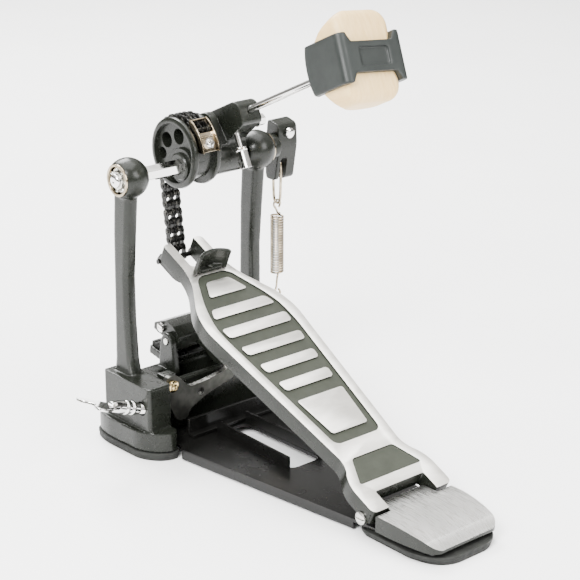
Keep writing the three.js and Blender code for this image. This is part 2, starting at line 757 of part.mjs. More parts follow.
function rockerScrew() {
  const shank = bar(2.2, [80.5, 213.4, 199], [80.5, 221.5, 199], 14);
  return join(shank, bar(3.6, [80.5, 213, 199], [80.5, 215.8, 199], 16));
}

add("rocker_washer", rockerWasher(), STEEL());
add("spring_rocker", rocker(), PAINT());
add("rocker_screw", rockerScrew(), CHROME());
add("rocker_pin", barX(1.6, ROCKER_X0 + 1.3, ROCKER_X1 - 3.4, SPRING_Y, ROCKER_PIN_Z, 14), STEEL());
add("spring_link", springLink(), STEEL());
add("spring_upper_hook", hook(SPRING_TOP + 8, 3, SPRING_TOP + 0.4, 0.7), STEEL());
add("return_spring", springBody(), STEEL());
add("spring_lower_hook", hook(SPRING_BOTTOM - 15, 3, SPRING_BOTTOM - 0.4, 0.7), STEEL());
add("spring_anchor_arm", anchorArm(), PAINT());
add("spring_eye_bolt", eyeBolt(), CHROME());
add("eye_bolt_nut", nut(60.4, 64.4), CHROME());

// ---- footboard ----------------------------------------------------------------------------------

// In the board's own frame X runs across, Y up the slope from above the origin, and Z out of the top.
const board = new THREE.Group();
board.position.set(0, 0, BOARD_TOP_Z);
board.rotation.x = rad(BOARD_SLOPE);
pedal.add(board);

const toBoard = (y, z) => [
  y * Math.cos(rad(BOARD_SLOPE)) + (z - BOARD_TOP_Z) * Math.sin(rad(BOARD_SLOPE)),
  -y * Math.sin(rad(BOARD_SLOPE)) + (z - BOARD_TOP_Z) * Math.cos(rad(BOARD_SLOPE)),
];
const [HINGE_S, HINGE_H] = toBoard(HINGE_Y, HINGE_Z);
const [TOE_S, TOE_H] = toBoard(TOE_PIN_Y, TOE_PIN_Z);

// The board seen from above: heel lugs, a waist, the wide upper third and the toe.
function boardShape() {
  const shape = new THREE.Shape();
  shape.moveTo(0, 4.8);
  shape.lineTo(31, 4.8);
  shape.quadraticCurveTo(34.4, 4.8, 34.4, 8.8);
  shape.lineTo(34.4, 24);
  shape.bezierCurveTo(34, 33, 25.6, 38, 25, 50);
  shape.lineTo(38.6, 172);
  shape.bezierCurveTo(40.6, 190, 37, 198, 30, 207);
  shape.bezierCurveTo(22, 217, 17.5, 226, 17.2, 238);
  shape.lineTo(17, PRONG_END - 3);
  shape.quadraticCurveTo(17, PRONG_END, 14, PRONG_END);
  shape.lineTo(0, PRONG_END);
  const half = shape.getPoints(5);
  const other = half.slice(1, -1).map((p) => new THREE.Vector2(-p.x, p.y));
  return new THREE.Shape([...half, ...other.reverse()]);
}

const BARS = [
  // start and end up the slope, half width at each
  [205, 219, 16.4, 9.8],
  [185.8, 194.3, 26.4, 23.2],
  [167, 176, 27, 27.8],
  [148.8, 157, 24.6, 25.8],
  [130.8, 139, 22.4, 23.4],
  [112.3, 120.8, 20.4, 21.5],
  [69.3, 102.2, 15.2, 19.6],
];

const PANEL = [
  // half width, and distance up the slope
  [19.6, 60.5],
  [31, 172],
  [28.5, 192],
  [13, 226],
];
const HOLLOW = [
  [22, 60],
  [34.4, 172],
  [32, 194],
  [13, 222],
];
const panelShape = () => rounded(mirrored(PANEL), 7);
const hollowShape = () => rounded(mirrored(HOLLOW), 8);

function badgeShape(grow) {
  const half = [
    [26.8 + grow, 27 - grow],
    [17.6 + grow, 47 + grow],
  ];
  return rounded(mirrored(half), 4);
}

function footboard() {
  const blank = slabZ(boardShape(), -BOARD_DEPTH, 0);
  const hollow = slabZ(hollowShape(), -BOARD_DEPTH - 1, -BOARD_SKIN);
  const heelGap = box(-21, 21, 0, 18.8, -30, 1);
  const toeGap = box(-PRONG_GAP, PRONG_GAP, 236, 300, -30, 1);
  const panel = slabZ(panelShape(), -PANEL_DEPTH, 1);
  const badge = slabZ(badgeShape(0), -PANEL_DEPTH, 1);
  const body = cut(blank, hollow, heelGap, toeGap, panel, badge);
  const bars = BARS.map(([s0, s1, w0, w1]) => {
    const half = [
      [w0, s0],
      [w1, s1],
    ];
    return slabZ(rounded(mirrored(half), 2.2), -PANEL_DEPTH - 0.5, 0, 3);
  });
  const lugs = [];
  for (const side of [-1, 1]) {
    const [x0, x1] = side > 0 ? [21.2, 34.2] : [-34.2, -21.2];
    lugs.push(slabX(linkOutline([HINGE_S, HINGE_H], [HINGE_S + 3, -4], 5), x0, x1, 0, 8));
    const [p0, p1] = side > 0 ? [PRONG_GAP + 0.4, 16.6] : [-16.6, -PRONG_GAP - 0.4];
    const chin = outline([
      [228, -8],
      [PRONG_END, -8],
      [PRONG_END + 2, -15],
      [240, -15],
    ]);
    lugs.push(slabX(chin, p0, p1));
  }
  const hingeBore = barX(3 + GAP, -40, 40, HINGE_S, HINGE_H, 16);
  const toeBore = barX(TOE_PIN_R + GAP, -20, 20, TOE_S, TOE_H, 14);
  return cut(join(body, ...bars, ...lugs), hingeBore, toeBore);
}

// A curved shield that stops the foot, hollow towards the player.
function toeStop() {
  const shape = new THREE.Shape();
  shape.moveTo(-13, 233);
  shape.quadraticCurveTo(0, 241, 13, 233);
  shape.lineTo(13.5, 229.5);
  shape.quadraticCurveTo(0, 236.5, -13.5, 229.5);
  shape.closePath();
  const shield = slabZ(shape, GAP, 16);
  const foot = box(-9, 9, 227.6, 235, GAP, 4);
  return cut(join(shield, foot), bar(1.9, [0, 229.8, 1], [0, 229.8, 6], 12));
}

function toeScrew() {
  const shank = bar(1.5, [0, 229.8, 1.3], [0, 229.8, 5.6], 12);
  return join(shank, bar(2.6, [0, 229.8, 4.4], [0, 229.8, 5.6], 14));
}

add("footboard", footboard(), ALUMINIUM(), board);
add("badge_plate", slabZ(badgeShape(-0.4), -PANEL_DEPTH + GAP, -0.2), PAINT(), board);
add("toe_stop", toeStop(), PAINT(), board);
add("toe_stop_screw", toeScrew(), CHROME(), board);
add("chain_pin", barX(TOE_PIN_R, -17.5, 17.5, TOE_S, TOE_H, 14), STEEL(), board);

// ---- hoop clamp ---------------------------------------------------------------------------------

const clampTurn = new THREE.Matrix4()
  .makeTranslation(0, JAW_PIVOT_Y, JAW_PIVOT_Z)
  .multiply(new THREE.Matrix4().makeRotationX(rad(JAW_TILT)));
// Pieces drawn round the jaw pivot, with Y along the hoop gap.
const atJaw = (geometry) => geometry.applyMatrix4(clampTurn);

const EAR_EDGE = [
  [218, 40],
  [222, 66],
  [226, 70],
  [231, 70],
  [235, 64],
  [238, 40],
];

function bridge() {
  const beam = box(-44.5, 44.5, 206, 240, PLATE_TOP + GAP, 40);
  const well = box(-30, 30, 212, 228, 18, 44);
  const ledge = box(-44.5, 44.5, 206, 240, 38, 44);
  const lip = atJaw(box(-JAW_HALF - 2, JAW_HALF + 2, 1, 22, -20.3, -14.5));
  const neck = box(-JAW_HALF - 2, JAW_HALF + 2, 229, 240, 38, 50);
  const ears = [-1, 1].map((side) => {
    const x0 = side > 0 ? JAW_HALF + GAP : -JAW_HALF - 5;
    const x1 = x0 + 5 - GAP;
    return slabX(rounded(EAR_EDGE, 3), x0, x1);
  });
  const boss = bar(5, [LEVER_X + 4, LEVER_Y + 3, LEVER_Z], [LEVER_X + 4, 208, LEVER_Z], 18);
  const bossRoot = box(-44.5, -34, LEVER_Y + 3, 210, 36, 52);
  const bore = bar(2.3, [LEVER_X, 190, LEVER_Z], [LEVER_X, 208.4, LEVER_Z], 14);
  const pivotBore = barX(2.8, -40, 40, JAW_PIVOT_Y, JAW_PIVOT_Z, 16);
  return cut(join(cut(join(beam, ledge), well), lip, neck, ...ears, boss, bossRoot), bore, pivotBore);
}

const lowerPad = () => atJaw(box(-JAW_HALF, JAW_HALF, 5, 21.5, -14.2, -11.2));
const upperPad = () => atJaw(box(-JAW_HALF + 2, JAW_HALF - 2, 6, 20, -3.4, -1.4));

const NOSE = [
  [-7, -5.4],
  [-7, 5],
  [0, 10],
  [9, 11],
  [21, 4],
  [21, -1.1],
  [6, -1.1],
  [4, -5.4],
];
const TAIL = [
  [194, 51],
  [194, 56],
  [214, 66],
  [226, 70],
  [226, 60],
  [214, 56],
  [203, 50],
];

function upperJaw() {
  const nose = atJaw(slabX(outline(NOSE), -JAW_HALF, JAW_HALF));
  const tail = slabX(outline(TAIL), 1, 15);
  return cut(
    join(nose, tail),
    barX(2.8, -40, 40, JAW_PIVOT_Y, JAW_PIVOT_Z, 16),
    atJaw(barX(2.1, -JAW_HALF - 1, -JAW_HALF + 6, 12, 4.4, 12)),
  );
}

function jawScrew() {
  const shank = barX(1.8, -JAW_HALF - 1, -JAW_HALF + 5.5, 12, 4.4, 12);
  return atJaw(join(shank, barX(3.4, -JAW_HALF - 2.8, -JAW_HALF - GAP, 12, 4.4, 16)));
}

const LEVER_EDGE = [
  [-46.6, 49],
  [-44, 53],
  [-36, 52],
  [-26, 41],
  [-10, 42],
  [14, 46.5],
  [14, 38],
  [-12, 31],
  [-26, 24],
  [-28, 18],
  [-36, 18],
  [-40, 24],
  [-42.6, 30],
  [-46, 40],
];

function lever() {
  return cut(
    slabY(rounded(LEVER_EDGE, 3), LEVER_Y - 2, LEVER_Y + 2),
    bar(2.3, [LEVER_X, 190, LEVER_Z], [LEVER_X, 210, LEVER_Z], 14),
    bar(2.6, [-16, 190, 35], [-16, 210, 35], 16),
  );
}

const leverScrew = () =>
  join(
    bar(2, [LEVER_X, LEVER_Y - 4.6, LEVER_Z], [LEVER_X, 208, LEVER_Z], 14),
    bar(4.2, [LEVER_X, LEVER_Y - 5.6, LEVER_Z], [LEVER_X, LEVER_Y - 2.4, LEVER_Z], 18),
  );

// Wing bolt: a threaded shank, a ringed barrel and a flat two-lobed wing.
function wingBolt() {
  const shank = screwBar(3.6, 3.4, 30, 18);
  const barrel = screwBar(BARREL_R, 25.5, 50, 20);
  const rings = [31, 36].map((s) => screwBar(4.9, s, s + 1.6, 20));
  const lobes = new THREE.Shape();
  lobes.moveTo(0, -4);
  lobes.bezierCurveTo(10, -5, 14, -15, 26, -14);
  lobes.bezierCurveTo(30, -12, 28, -6, 22, -2);
  lobes.bezierCurveTo(20, 0, 20, 0, 22, 2);
  lobes.bezierCurveTo(28, 6, 30, 12, 26, 14);
  lobes.bezierCurveTo(14, 15, 10, 5, 0, 4);
  lobes.closePath();
  const wing = new THREE.ExtrudeGeometry(lobes, { depth: 3, bevelEnabled: false, curveSegments: 6 });
  wing.translate(0, 0, -1.5);
  wing.rotateX(rad(WING_TURN));
  const outward = new THREE.Vector3(-Math.cos(rad(SCREW_TILT)), 0, Math.sin(rad(SCREW_TILT)));
  const upward = new THREE.Vector3(Math.sin(rad(SCREW_TILT)), 0, Math.cos(rad(SCREW_TILT)));
  wing.applyMatrix4(new THREE.Matrix4().makeBasis(outward, upward, outward.clone().cross(upward)));
  wing.translate(SCREW_TIP_X + outward.x * 42, LEVER_Y, SCREW_TIP_Z + outward.z * 42);
  return join(shank, barrel, ...rings, wing);
}

add("clamp_bridge", bridge(), PAINT());
function crossBar() {
  const foot = box(-33, 46, 184, 190, PLATE_TOP + GAP, 11);
  return join(box(-33, 46, 189, 191.5, PLATE_TOP + GAP, 21), foot);
}

add("cross_bar", crossBar(), BLACK_STEEL());
add("lower_jaw_pad", lowerPad(), RUBBER());
add("jaw_pivot_pin", barX(2.4, -JAW_HALF - 6, JAW_HALF + 6, JAW_PIVOT_Y, JAW_PIVOT_Z, 16), STEEL());
add("upper_jaw", upperJaw(), PAINT());
add("upper_jaw_pad", upperPad(), RUBBER());
add("jaw_screw", jawScrew(), CHROME());
add("clamp_lever", lever(), STEEL());
add("lever_pivot_screw", leverScrew(), BRASS());
add("lever_spring", coil(2.2, 0.45, 46.6, 49.2, 1.5, 10, 8, LEVER_Y), STEEL());
add("clamp_tip", screwBar(3.2, 0, 3, 16), STEEL());
add("clamp_screw", wingBolt(), CHROME());

export default pedal;
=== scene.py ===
# %% [markdown]
# # A bass drum pedal, piece by piece
# The imported engineering model is the fixed frame. Every piece made here but the spring coil rides on one
# of its bodies, so the pedal still works. Lengths are written in millimetres and each finished mesh is
# scaled to metres once.

# %% Load the frame
import json
import math

import bmesh
import bpy
from mathutils import Matrix, Vector


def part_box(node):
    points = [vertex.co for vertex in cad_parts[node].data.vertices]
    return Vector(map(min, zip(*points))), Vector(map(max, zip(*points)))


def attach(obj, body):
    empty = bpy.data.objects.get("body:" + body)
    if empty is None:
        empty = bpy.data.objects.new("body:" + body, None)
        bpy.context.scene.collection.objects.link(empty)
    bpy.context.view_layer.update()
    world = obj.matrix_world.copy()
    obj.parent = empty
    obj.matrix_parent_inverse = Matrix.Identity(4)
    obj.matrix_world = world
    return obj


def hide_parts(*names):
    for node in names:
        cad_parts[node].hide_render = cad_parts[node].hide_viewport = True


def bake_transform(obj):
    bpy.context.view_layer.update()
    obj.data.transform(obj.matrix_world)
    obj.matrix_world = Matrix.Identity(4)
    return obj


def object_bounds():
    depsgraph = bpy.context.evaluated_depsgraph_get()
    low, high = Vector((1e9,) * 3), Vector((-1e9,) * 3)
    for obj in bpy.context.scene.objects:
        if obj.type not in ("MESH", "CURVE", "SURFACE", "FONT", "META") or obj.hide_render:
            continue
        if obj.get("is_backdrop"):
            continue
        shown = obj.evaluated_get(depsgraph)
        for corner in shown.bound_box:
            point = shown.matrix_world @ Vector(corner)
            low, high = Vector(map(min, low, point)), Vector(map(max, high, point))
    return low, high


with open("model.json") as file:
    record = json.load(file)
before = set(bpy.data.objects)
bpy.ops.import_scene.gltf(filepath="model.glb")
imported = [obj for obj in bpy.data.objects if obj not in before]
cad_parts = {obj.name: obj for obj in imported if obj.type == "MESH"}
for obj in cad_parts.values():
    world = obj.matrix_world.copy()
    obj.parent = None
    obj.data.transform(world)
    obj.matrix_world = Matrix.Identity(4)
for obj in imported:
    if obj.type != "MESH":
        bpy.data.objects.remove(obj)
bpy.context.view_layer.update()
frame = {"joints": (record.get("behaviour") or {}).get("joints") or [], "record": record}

# %% [markdown]
# ## Places that come from the frame
# Axes and mounting faces are read from the joints and mounts, never typed twice. Four small frames make the
# rest of the work simple: one square to the footboard, one square to the beater rod, one square to the hoop
# jaws and one along the wing bolt.

# %% Read the axes
MM = 0.001
rad = math.radians
joints = {joint["name"]: joint for joint in frame["joints"]}
mounts = {mount["name"]: mount for mount in frame["record"]["mounts"]}


def pivot(name):
    """Where a joint turns, in millimetres."""
    return Vector(joints[name]["pos_m"]) / MM


AXLE = pivot("beater_swing")
SHAFT_Y, SHAFT_Z = AXLE.y, AXLE.z
HINGE = pivot("footboard_press")
TO_X = Matrix(((0, 0, 1, 0), (1, 0, 0, 0), (0, 1, 0, 0), (0, 0, 0, 1)))  # local Z lies along X
TO_Y = Matrix(((1, 0, 0, 0), (0, 0, -1, 0), (0, 1, 0, 0), (0, 0, 0, 1)))  # local Z points back along -Y


def at(x, y, z):
    return Matrix.Translation((x, y, z))


def frame_of(origin, x_axis, y_axis, z_axis):
    """A frame from its origin and three axes."""
    turn = Matrix((x_axis, y_axis, z_axis)).transposed().to_4x4()
    return Matrix.Translation(origin) @ turn


sole = mounts["sole"]
sole_up = Vector(sole["axis"])
SLOPE = math.atan2(-sole_up.y, sole_up.z)
board_origin = sole["pos_m"][2] / MM - sole["pos_m"][1] / MM * math.tan(SLOPE)
BOARD = at(0, 0, board_origin) @ Matrix.Rotation(SLOPE, 4, "X")

rod_way = Vector(joints["beater_height"]["axis"])
rod_out = Vector((0, rod_way.z, -rod_way.y))
ROD_X, ROD_OFFSET = 33.0, 23.8
ROD = frame_of(AXLE + Vector((ROD_X, 0, 0)) + rod_out * ROD_OFFSET, (1, 0, 0), rod_out, rod_way)

hoop_up = Vector(mounts["hoop_outside"]["axis"])
JAW = Matrix.Translation(pivot("jaw_swing")) @ Matrix.Rotation(math.atan2(-hoop_up.y, hoop_up.z), 4, "X")

bolt_way = -Vector(joints["wing_bolt_turn"]["axis"])
BOLT_TIP = pivot("wing_bolt_turn")
BOLT = frame_of(BOLT_TIP, (0, 1, 0), bolt_way.cross(Vector((0, 1, 0))), bolt_way)
print("axle", AXLE[:], "board slope", round(math.degrees(SLOPE), 2))

# %% [markdown]
# ## The camera
# It stands to the front left and a little above, and looks through a long lens.
# A long lens keeps the two posts nearly parallel, as they look in a catalogue.

# %% Place the camera
AIM = Vector((-1.92, 120.0, 127.17))
AZIMUTH, ELEVATION, ROLL = rad(-41.134), rad(19.878), rad(0.20)
DISTANCE = 1152.6
back = Vector(
    (
        math.sin(AZIMUTH) * math.cos(ELEVATION),
        -math.cos(AZIMUTH) * math.cos(ELEVATION),
        math.sin(ELEVATION),
    )
)
right = Vector((math.cos(AZIMUTH), math.sin(AZIMUTH), 0))
camera = bpy.data.objects.new("camera", bpy.data.cameras.new("camera"))
bpy.context.scene.collection.objects.link(camera)
camera.data.lens = 110.2
camera.data.sensor_width = 36
camera.data.clip_start, camera.data.clip_end = 0.05, 50
stand = frame_of((AIM + back * DISTANCE) * MM, right, back.cross(right), back)
camera.matrix_world = stand @ Matrix.Rotation(ROLL, 4, "Z")
bpy.context.scene.camera = camera
print("camera at", [round(c, 3) for c in camera.matrix_world.translation])

# %% [markdown]
# ## Floor and light
# A pale floor, a white room and four large soft lamps. The room is a little darker near the horizon, so
# that chrome and polished metal have something to reflect and read as metal.

# %% Light the studio
world = bpy.data.worlds.new("studio")
bpy.context.scene.world = world
world.use_nodes = True
room, links = world.node_tree.nodes, world.node_tree.links
sky_place = room.new("ShaderNodeTexCoord")
split = room.new("ShaderNodeSeparateXYZ")
shade = room.new("ShaderNodeValToRGB")
shade.color_ramp.elements[0].position, shade.color_ramp.elements[0].color = 0.52, (0.05, 0.05, 0.048, 1)
shade.color_ramp.elements[1].position, shade.color_ramp.elements[1].color = 0.90, (1.0, 0.985, 0.95, 1)
lift = room.new("ShaderNodeMapRange")
lift.inputs["From Min"].default_value, lift.inputs["From Max"].default_value = -1, 1
path = room.new("ShaderNodeLightPath")
seen = room.new("ShaderNodeMix")
seen.data_type = "RGBA"
seen.inputs["B"].default_value = (4.0, 4.0, 4.0, 1)
links.new(sky_place.outputs["Generated"], split.inputs["Vector"])
links.new(split.outputs["Z"], lift.inputs["Value"])
links.new(lift.outputs["Result"], shade.inputs["Fac"])
links.new(path.outputs["Is Camera Ray"], seen.inputs["Factor"])
links.new(shade.outputs["Color"], seen.inputs["A"])
links.new(seen.outputs["Result"], room["Background"].inputs["Color"])
room["Background"].inputs["Strength"].default_value = 1.6


def lamp(name, place, size, power):
    """A square soft lamp that looks at the middle of the pedal."""
    data = bpy.data.lights.new(name, "AREA")
    data.size, data.energy = size, power
    obj = bpy.data.objects.new(name, data)
    bpy.context.scene.collection.objects.link(obj)
    obj.location = place
    obj.rotation_euler = (Vector((0, 0.1, 0.1)) - Vector(place)).to_track_quat("-Z", "Y").to_euler()
    return obj


lamp("lamp_left", (-1.3, -0.4, 1.3), 0.8, 85)
lamp("lamp_front", (0.5, -1.5, 1.1), 1.0, 40)
lamp("lamp_back", (0.4, 1.5, 1.5), 1.0, 80)
lamp("lamp_top", (0.2, 0.3, 3.2), 3.0, 170)
print("studio: 4 lamps")

# %% [markdown]
# ## Finishes
# Each finish is a small node tree. Paint gets a faint orange peel and patches of different gloss, brushed
# metal gets fine lines that run one way, and plated wire stays smooth. Patterns read Object coordinates,
# which are metres on every piece, so a scale of 1000 means features of about a millimetre.


# %% A kit for finishes
def finish(name, color, rough, metal=0.0, coat=0.0, shine=0.5):
    """A material with plain values on the shader, and the tree to add patterns to."""
    material = bpy.data.materials.new(name)
    material.use_nodes = True
    shader = material.node_tree.nodes["Principled BSDF"]
    shader.inputs["Base Color"].default_value = (*color, 1)
    shader.inputs["Roughness"].default_value = rough
    shader.inputs["Metallic"].default_value = metal
    shader.inputs["Coat Weight"].default_value = coat
    shader.inputs["Coat Roughness"].default_value = 0.12
    shader.inputs["Specular IOR Level"].default_value = shine
    return material


def stretched(material, scale, turn=(0, 0, 0)):
    """Object coordinates, stretched and turned."""
    nodes, wires = material.node_tree.nodes, material.node_tree.links
    place = nodes.new("ShaderNodeTexCoord")
    mapping = nodes.new("ShaderNodeMapping")
    mapping.inputs["Scale"].default_value = scale
    mapping.inputs["Rotation"].default_value = turn
    wires.new(place.outputs["Object"], mapping.inputs["Vector"])
    return mapping.outputs["Vector"]


def noise(material, vector, scale, detail=3.0):
    nodes, wires = material.node_tree.nodes, material.node_tree.links
    texture = nodes.new("ShaderNodeTexNoise")
    texture.inputs["Scale"].default_value = scale
    texture.inputs["Detail"].default_value = detail
    wires.new(vector, texture.inputs["Vector"])
    return texture.outputs["Fac"]


def grain(material, scale, detail=3.0):
    """Noise that looks the same in every direction."""
    return noise(material, stretched(material, (1, 1, 1)), scale, detail)


def vary_color(material, fac, dark, light, low=0.35, high=0.65):
    nodes, wires = material.node_tree.nodes, material.node_tree.links
    ramp = nodes.new("ShaderNodeValToRGB")
    ramp.color_ramp.elements[0].position, ramp.color_ramp.elements[0].color = low, (*dark, 1)
    ramp.color_ramp.elements[1].position, ramp.color_ramp.elements[1].color = high, (*light, 1)
    wires.new(fac, ramp.inputs["Fac"])
    wires.new(ramp.outputs["Color"], nodes["Principled BSDF"].inputs["Base Color"])
    return ramp


def vary_rough(material, fac, low, high):
    nodes, wires = material.node_tree.nodes, material.node_tree.links
    reach = nodes.new("ShaderNodeMapRange")
    reach.inputs["From Min"].default_value, reach.inputs["From Max"].default_value = 0.3, 0.7
    reach.inputs["To Min"].default_value, reach.inputs["To Max"].default_value = low, high
    wires.new(fac, reach.inputs["Value"])
    wires.new(reach.outputs["Result"], nodes["Principled BSDF"].inputs["Roughness"])


def relief(material, fac, depth_mm, strength=1.0):
    nodes, wires = material.node_tree.nodes, material.node_tree.links
    bump = nodes.new("ShaderNodeBump")
    bump.inputs["Distance"].default_value = depth_mm * MM
    bump.inputs["Strength"].default_value = strength
    wires.new(fac, bump.inputs["Height"])
    wires.new(bump.outputs["Normal"], nodes["Principled BSDF"].inputs["Normal"])


# %% [markdown]
# ### Painted and black parts
# The castings wear a semi-gloss charcoal paint with a trace of green. Folded sheet steel and the chain are
# closer to black and shinier.

# %% Charcoal, panel, black and chain
charcoal = finish("charcoal", (0.008, 0.009, 0.007), 0.27, shine=0.28)
vary_color(charcoal, grain(charcoal, 60), (0.0065, 0.0075, 0.0055), (0.0095, 0.0108, 0.0082))
vary_rough(charcoal, grain(charcoal, 140, 4), 0.23, 0.33)
relief(charcoal, grain(charcoal, 900, 2), 0.008, 0.3)

panel_paint = finish("panel_paint", (0.026, 0.029, 0.021), 0.5, shine=0.25)
vary_color(panel_paint, grain(panel_paint, 90, 5), (0.023, 0.026, 0.0185), (0.029, 0.0325, 0.0235))
vary_rough(panel_paint, grain(panel_paint, 200), 0.42, 0.56)
relief(panel_paint, grain(panel_paint, 1500, 2), 0.03, 0.6)

black = finish("black_steel", (0.004, 0.004, 0.0036), 0.22, shine=0.3)
vary_color(black, grain(black, 80, 4), (0.0035, 0.0035, 0.0032), (0.0055, 0.0055, 0.005))
vary_rough(black, grain(black, 50, 5), 0.2, 0.3)
relief(black, grain(black, 700, 2), 0.01, 0.3)

chain_black = finish("chain_black", (0.01, 0.01, 0.009), 0.28, 0.4, shine=0.3)
# Bright spots on the chain are partly steel worn through the black and partly painted glints that stand in
# for highlights on the rollers.
wear_and_painted_glints = grain(chain_black, 420, 2)
vary_color(chain_black, wear_and_painted_glints, (0.006, 0.006, 0.0055), (0.12, 0.115, 0.10), 0.56, 0.76)
vary_rough(chain_black, grain(chain_black, 300), 0.2, 0.4)

rubber = finish("rubber", (0.010, 0.010, 0.0095), 0.75, shine=0.3)
vary_color(rubber, grain(rubber, 120), (0.009, 0.0095, 0.0085), (0.015, 0.016, 0.014))
vary_rough(rubber, grain(rubber, 300), 0.55, 0.75)
relief(rubber, grain(rubber, 1800, 2), 0.04, 0.7)
print("dark finishes: charcoal, panel paint, black steel, chain, rubber")

# %% [markdown]
# ### Bright metals
# The footboard's tops are ground with a belt that runs across the board: long streaks in X, short in the
# other directions, which change both the gloss and the level a little. Chrome, nickel and zinc differ in
# colour and in how sharp their reflections are.

# %% Aluminium, chrome, nickel, steel, brass
aluminium = finish("aluminium", (0.80, 0.79, 0.76), 0.3, 1.0)
streaks = noise(aluminium, stretched(aluminium, (0.06, 1, 1)), 1500, 3)
patches = noise(aluminium, stretched(aluminium, (0.5, 1, 1)), 130, 4)
vary_color(aluminium, patches, (0.78, 0.76, 0.71), (0.97, 0.95, 0.90), 0.30, 0.68)
vary_rough(aluminium, streaks, 0.30, 0.46)
relief(aluminium, streaks, 0.010, 0.5)

heel_metal = finish("heel_aluminium", (0.80, 0.79, 0.77), 0.26, 1.0)
streaks = noise(heel_metal, stretched(heel_metal, (1, 0.08, 0.3)), 1300, 3)
vary_color(heel_metal, grain(heel_metal, 40), (0.70, 0.70, 0.68), (0.82, 0.81, 0.79))
vary_rough(heel_metal, streaks, 0.22, 0.36)
relief(heel_metal, streaks, 0.008, 0.5)

chrome = finish("chrome", (0.84, 0.83, 0.81), 0.07, 1.0)
vary_rough(chrome, grain(chrome, 160, 4), 0.05, 0.13)
nickel = finish("nickel", (0.36, 0.3, 0.21), 0.2, 1.0)
vary_color(nickel, grain(nickel, 150, 3), (0.22, 0.18, 0.125), (0.46, 0.39, 0.29))
vary_rough(nickel, grain(nickel, 260), 0.12, 0.24)
steel = finish("zinc_steel", (0.60, 0.60, 0.57), 0.28, 1.0)
vary_color(steel, grain(steel, 220, 4), (0.50, 0.50, 0.47), (0.68, 0.67, 0.63))
vary_rough(steel, grain(steel, 340, 3), 0.2, 0.4)
lever_steel = finish("lever_steel", (0.055, 0.056, 0.05), 0.34, 0.8, shine=0.3)
vary_color(lever_steel, grain(lever_steel, 160, 4), (0.045, 0.046, 0.041), (0.075, 0.075, 0.068))
vary_rough(lever_steel, grain(lever_steel, 400, 3), 0.28, 0.44)
brass = finish("brass", (0.72, 0.55, 0.28), 0.2, 1.0)
vary_rough(brass, grain(brass, 500, 3), 0.14, 0.3)
print("bright finishes: aluminium, chrome, nickel, steel, brass")

# %% [markdown]
# ### Wood and plastic
# The beater is maple: pale, with fine lines along its length and a few darker pores. The strap is a satin
# grey plastic moulding.

# %% Maple and grey plastic
maple = finish("maple", (0.72, 0.48, 0.19), 0.42)
lines = noise(maple, stretched(maple, (1, 0.09, 0.18), (rad(-25), 0, 0)), 620, 5)
vary_color(maple, lines, (0.68, 0.45, 0.18), (0.76, 0.54, 0.25), 0.30, 0.66)
vary_rough(maple, lines, 0.38, 0.52)
relief(maple, lines, 0.012, 0.4)
grey_plastic = finish("grey_plastic", (0.014, 0.017, 0.0155), 0.4, shine=0.3)
vary_color(grey_plastic, grain(grey_plastic, 70), (0.0125, 0.015, 0.0138), (0.016, 0.019, 0.0175))
vary_rough(grey_plastic, grain(grey_plastic, 180), 0.38, 0.52)
relief(grey_plastic, grain(grey_plastic, 1600, 2), 0.03, 0.6)
print("soft finishes: maple, grey plastic")

# %% [markdown]
# ## A kit for shapes
# Four ways of starting cover nearly every piece: a flat outline pushed out into a slab, a profile spun on a
# lathe, a bar between two points, and a wire along a line of points. Rounded corners are vertex bevels.


# %% Slab, lathe, bar, block
def round_off(bm, geom, radius, steps, affect="EDGES", clamp=True, material=-1):
    """Bevels edges or corners to a round."""
    bmesh.ops.bevel(
        bm,
        geom=geom,
        offset=radius,
        segments=steps,
        profile=0.5,
        affect=affect,
        material=material,
        clamp_overlap=clamp,
    )


def rounded_face(points, corner=0.0, steps=5):
    """A flat face in local XY. corner is one radius for all corners, or one for each."""
    bm = bmesh.new()
    verts = [bm.verts.new((a, b, 0)) for a, b in points]
    bm.faces.new(verts)
    radii = corner if isinstance(corner, (list, tuple)) else [corner] * len(points)
    for vert, radius in zip(verts, radii):
        if radius:
            round_off(bm, [vert], radius, steps, "VERTICES", clamp=False)
    return bm


def push_out(bm, low, high):
    """Gives every face of a flat bmesh the thickness from low to high."""
    moved = bmesh.ops.extrude_face_region(bm, geom=bm.faces[:])["geom"]
    top = [item for item in moved if isinstance(item, bmesh.types.BMVert)]
    bmesh.ops.translate(bm, verts=top, vec=(0, 0, high - low))
    bmesh.ops.translate(bm, verts=bm.verts[:], vec=(0, 0, low))
    bmesh.ops.recalc_face_normals(bm, faces=bm.faces[:])
    return bm


def slab(points, low, high, corner=0.0, steps=5, place=None):
    bm = push_out(rounded_face(points, corner, steps), low, high)
    if place:
        bm.transform(place)
        bm.normal_update()
    return bm


def mirror_half(half):
    """A symmetrical outline from its right half."""
    return [*half, *[(-x, y) for x, y in reversed(half)]]


def lathe(profile, place=None, steps=56, soften=0.0, closed=False):
    """Spins (radius, height) points round local Z. soften rounds the inner corners of the profile."""
    bm = bmesh.new()
    verts = [bm.verts.new((r, 0, h)) for r, h in profile]
    for pair in zip(verts, verts[1:]):
        bm.edges.new(pair)
    if closed:
        bm.edges.new((verts[-1], verts[0]))
    if soften:
        corners = verts if closed else verts[1:-1]
        round_off(bm, corners, soften, 3, "VERTICES", clamp=False)
    bmesh.ops.spin(
        bm,
        geom=bm.verts[:] + bm.edges[:],
        cent=(0, 0, 0),
        axis=(0, 0, 1),
        angle=2 * math.pi,
        steps=steps,
        use_merge=True,
    )
    bmesh.ops.remove_doubles(bm, verts=bm.verts[:], dist=0.0005)
    bmesh.ops.recalc_face_normals(bm, faces=bm.faces[:])
    if place:
        bm.transform(place)
    return bm


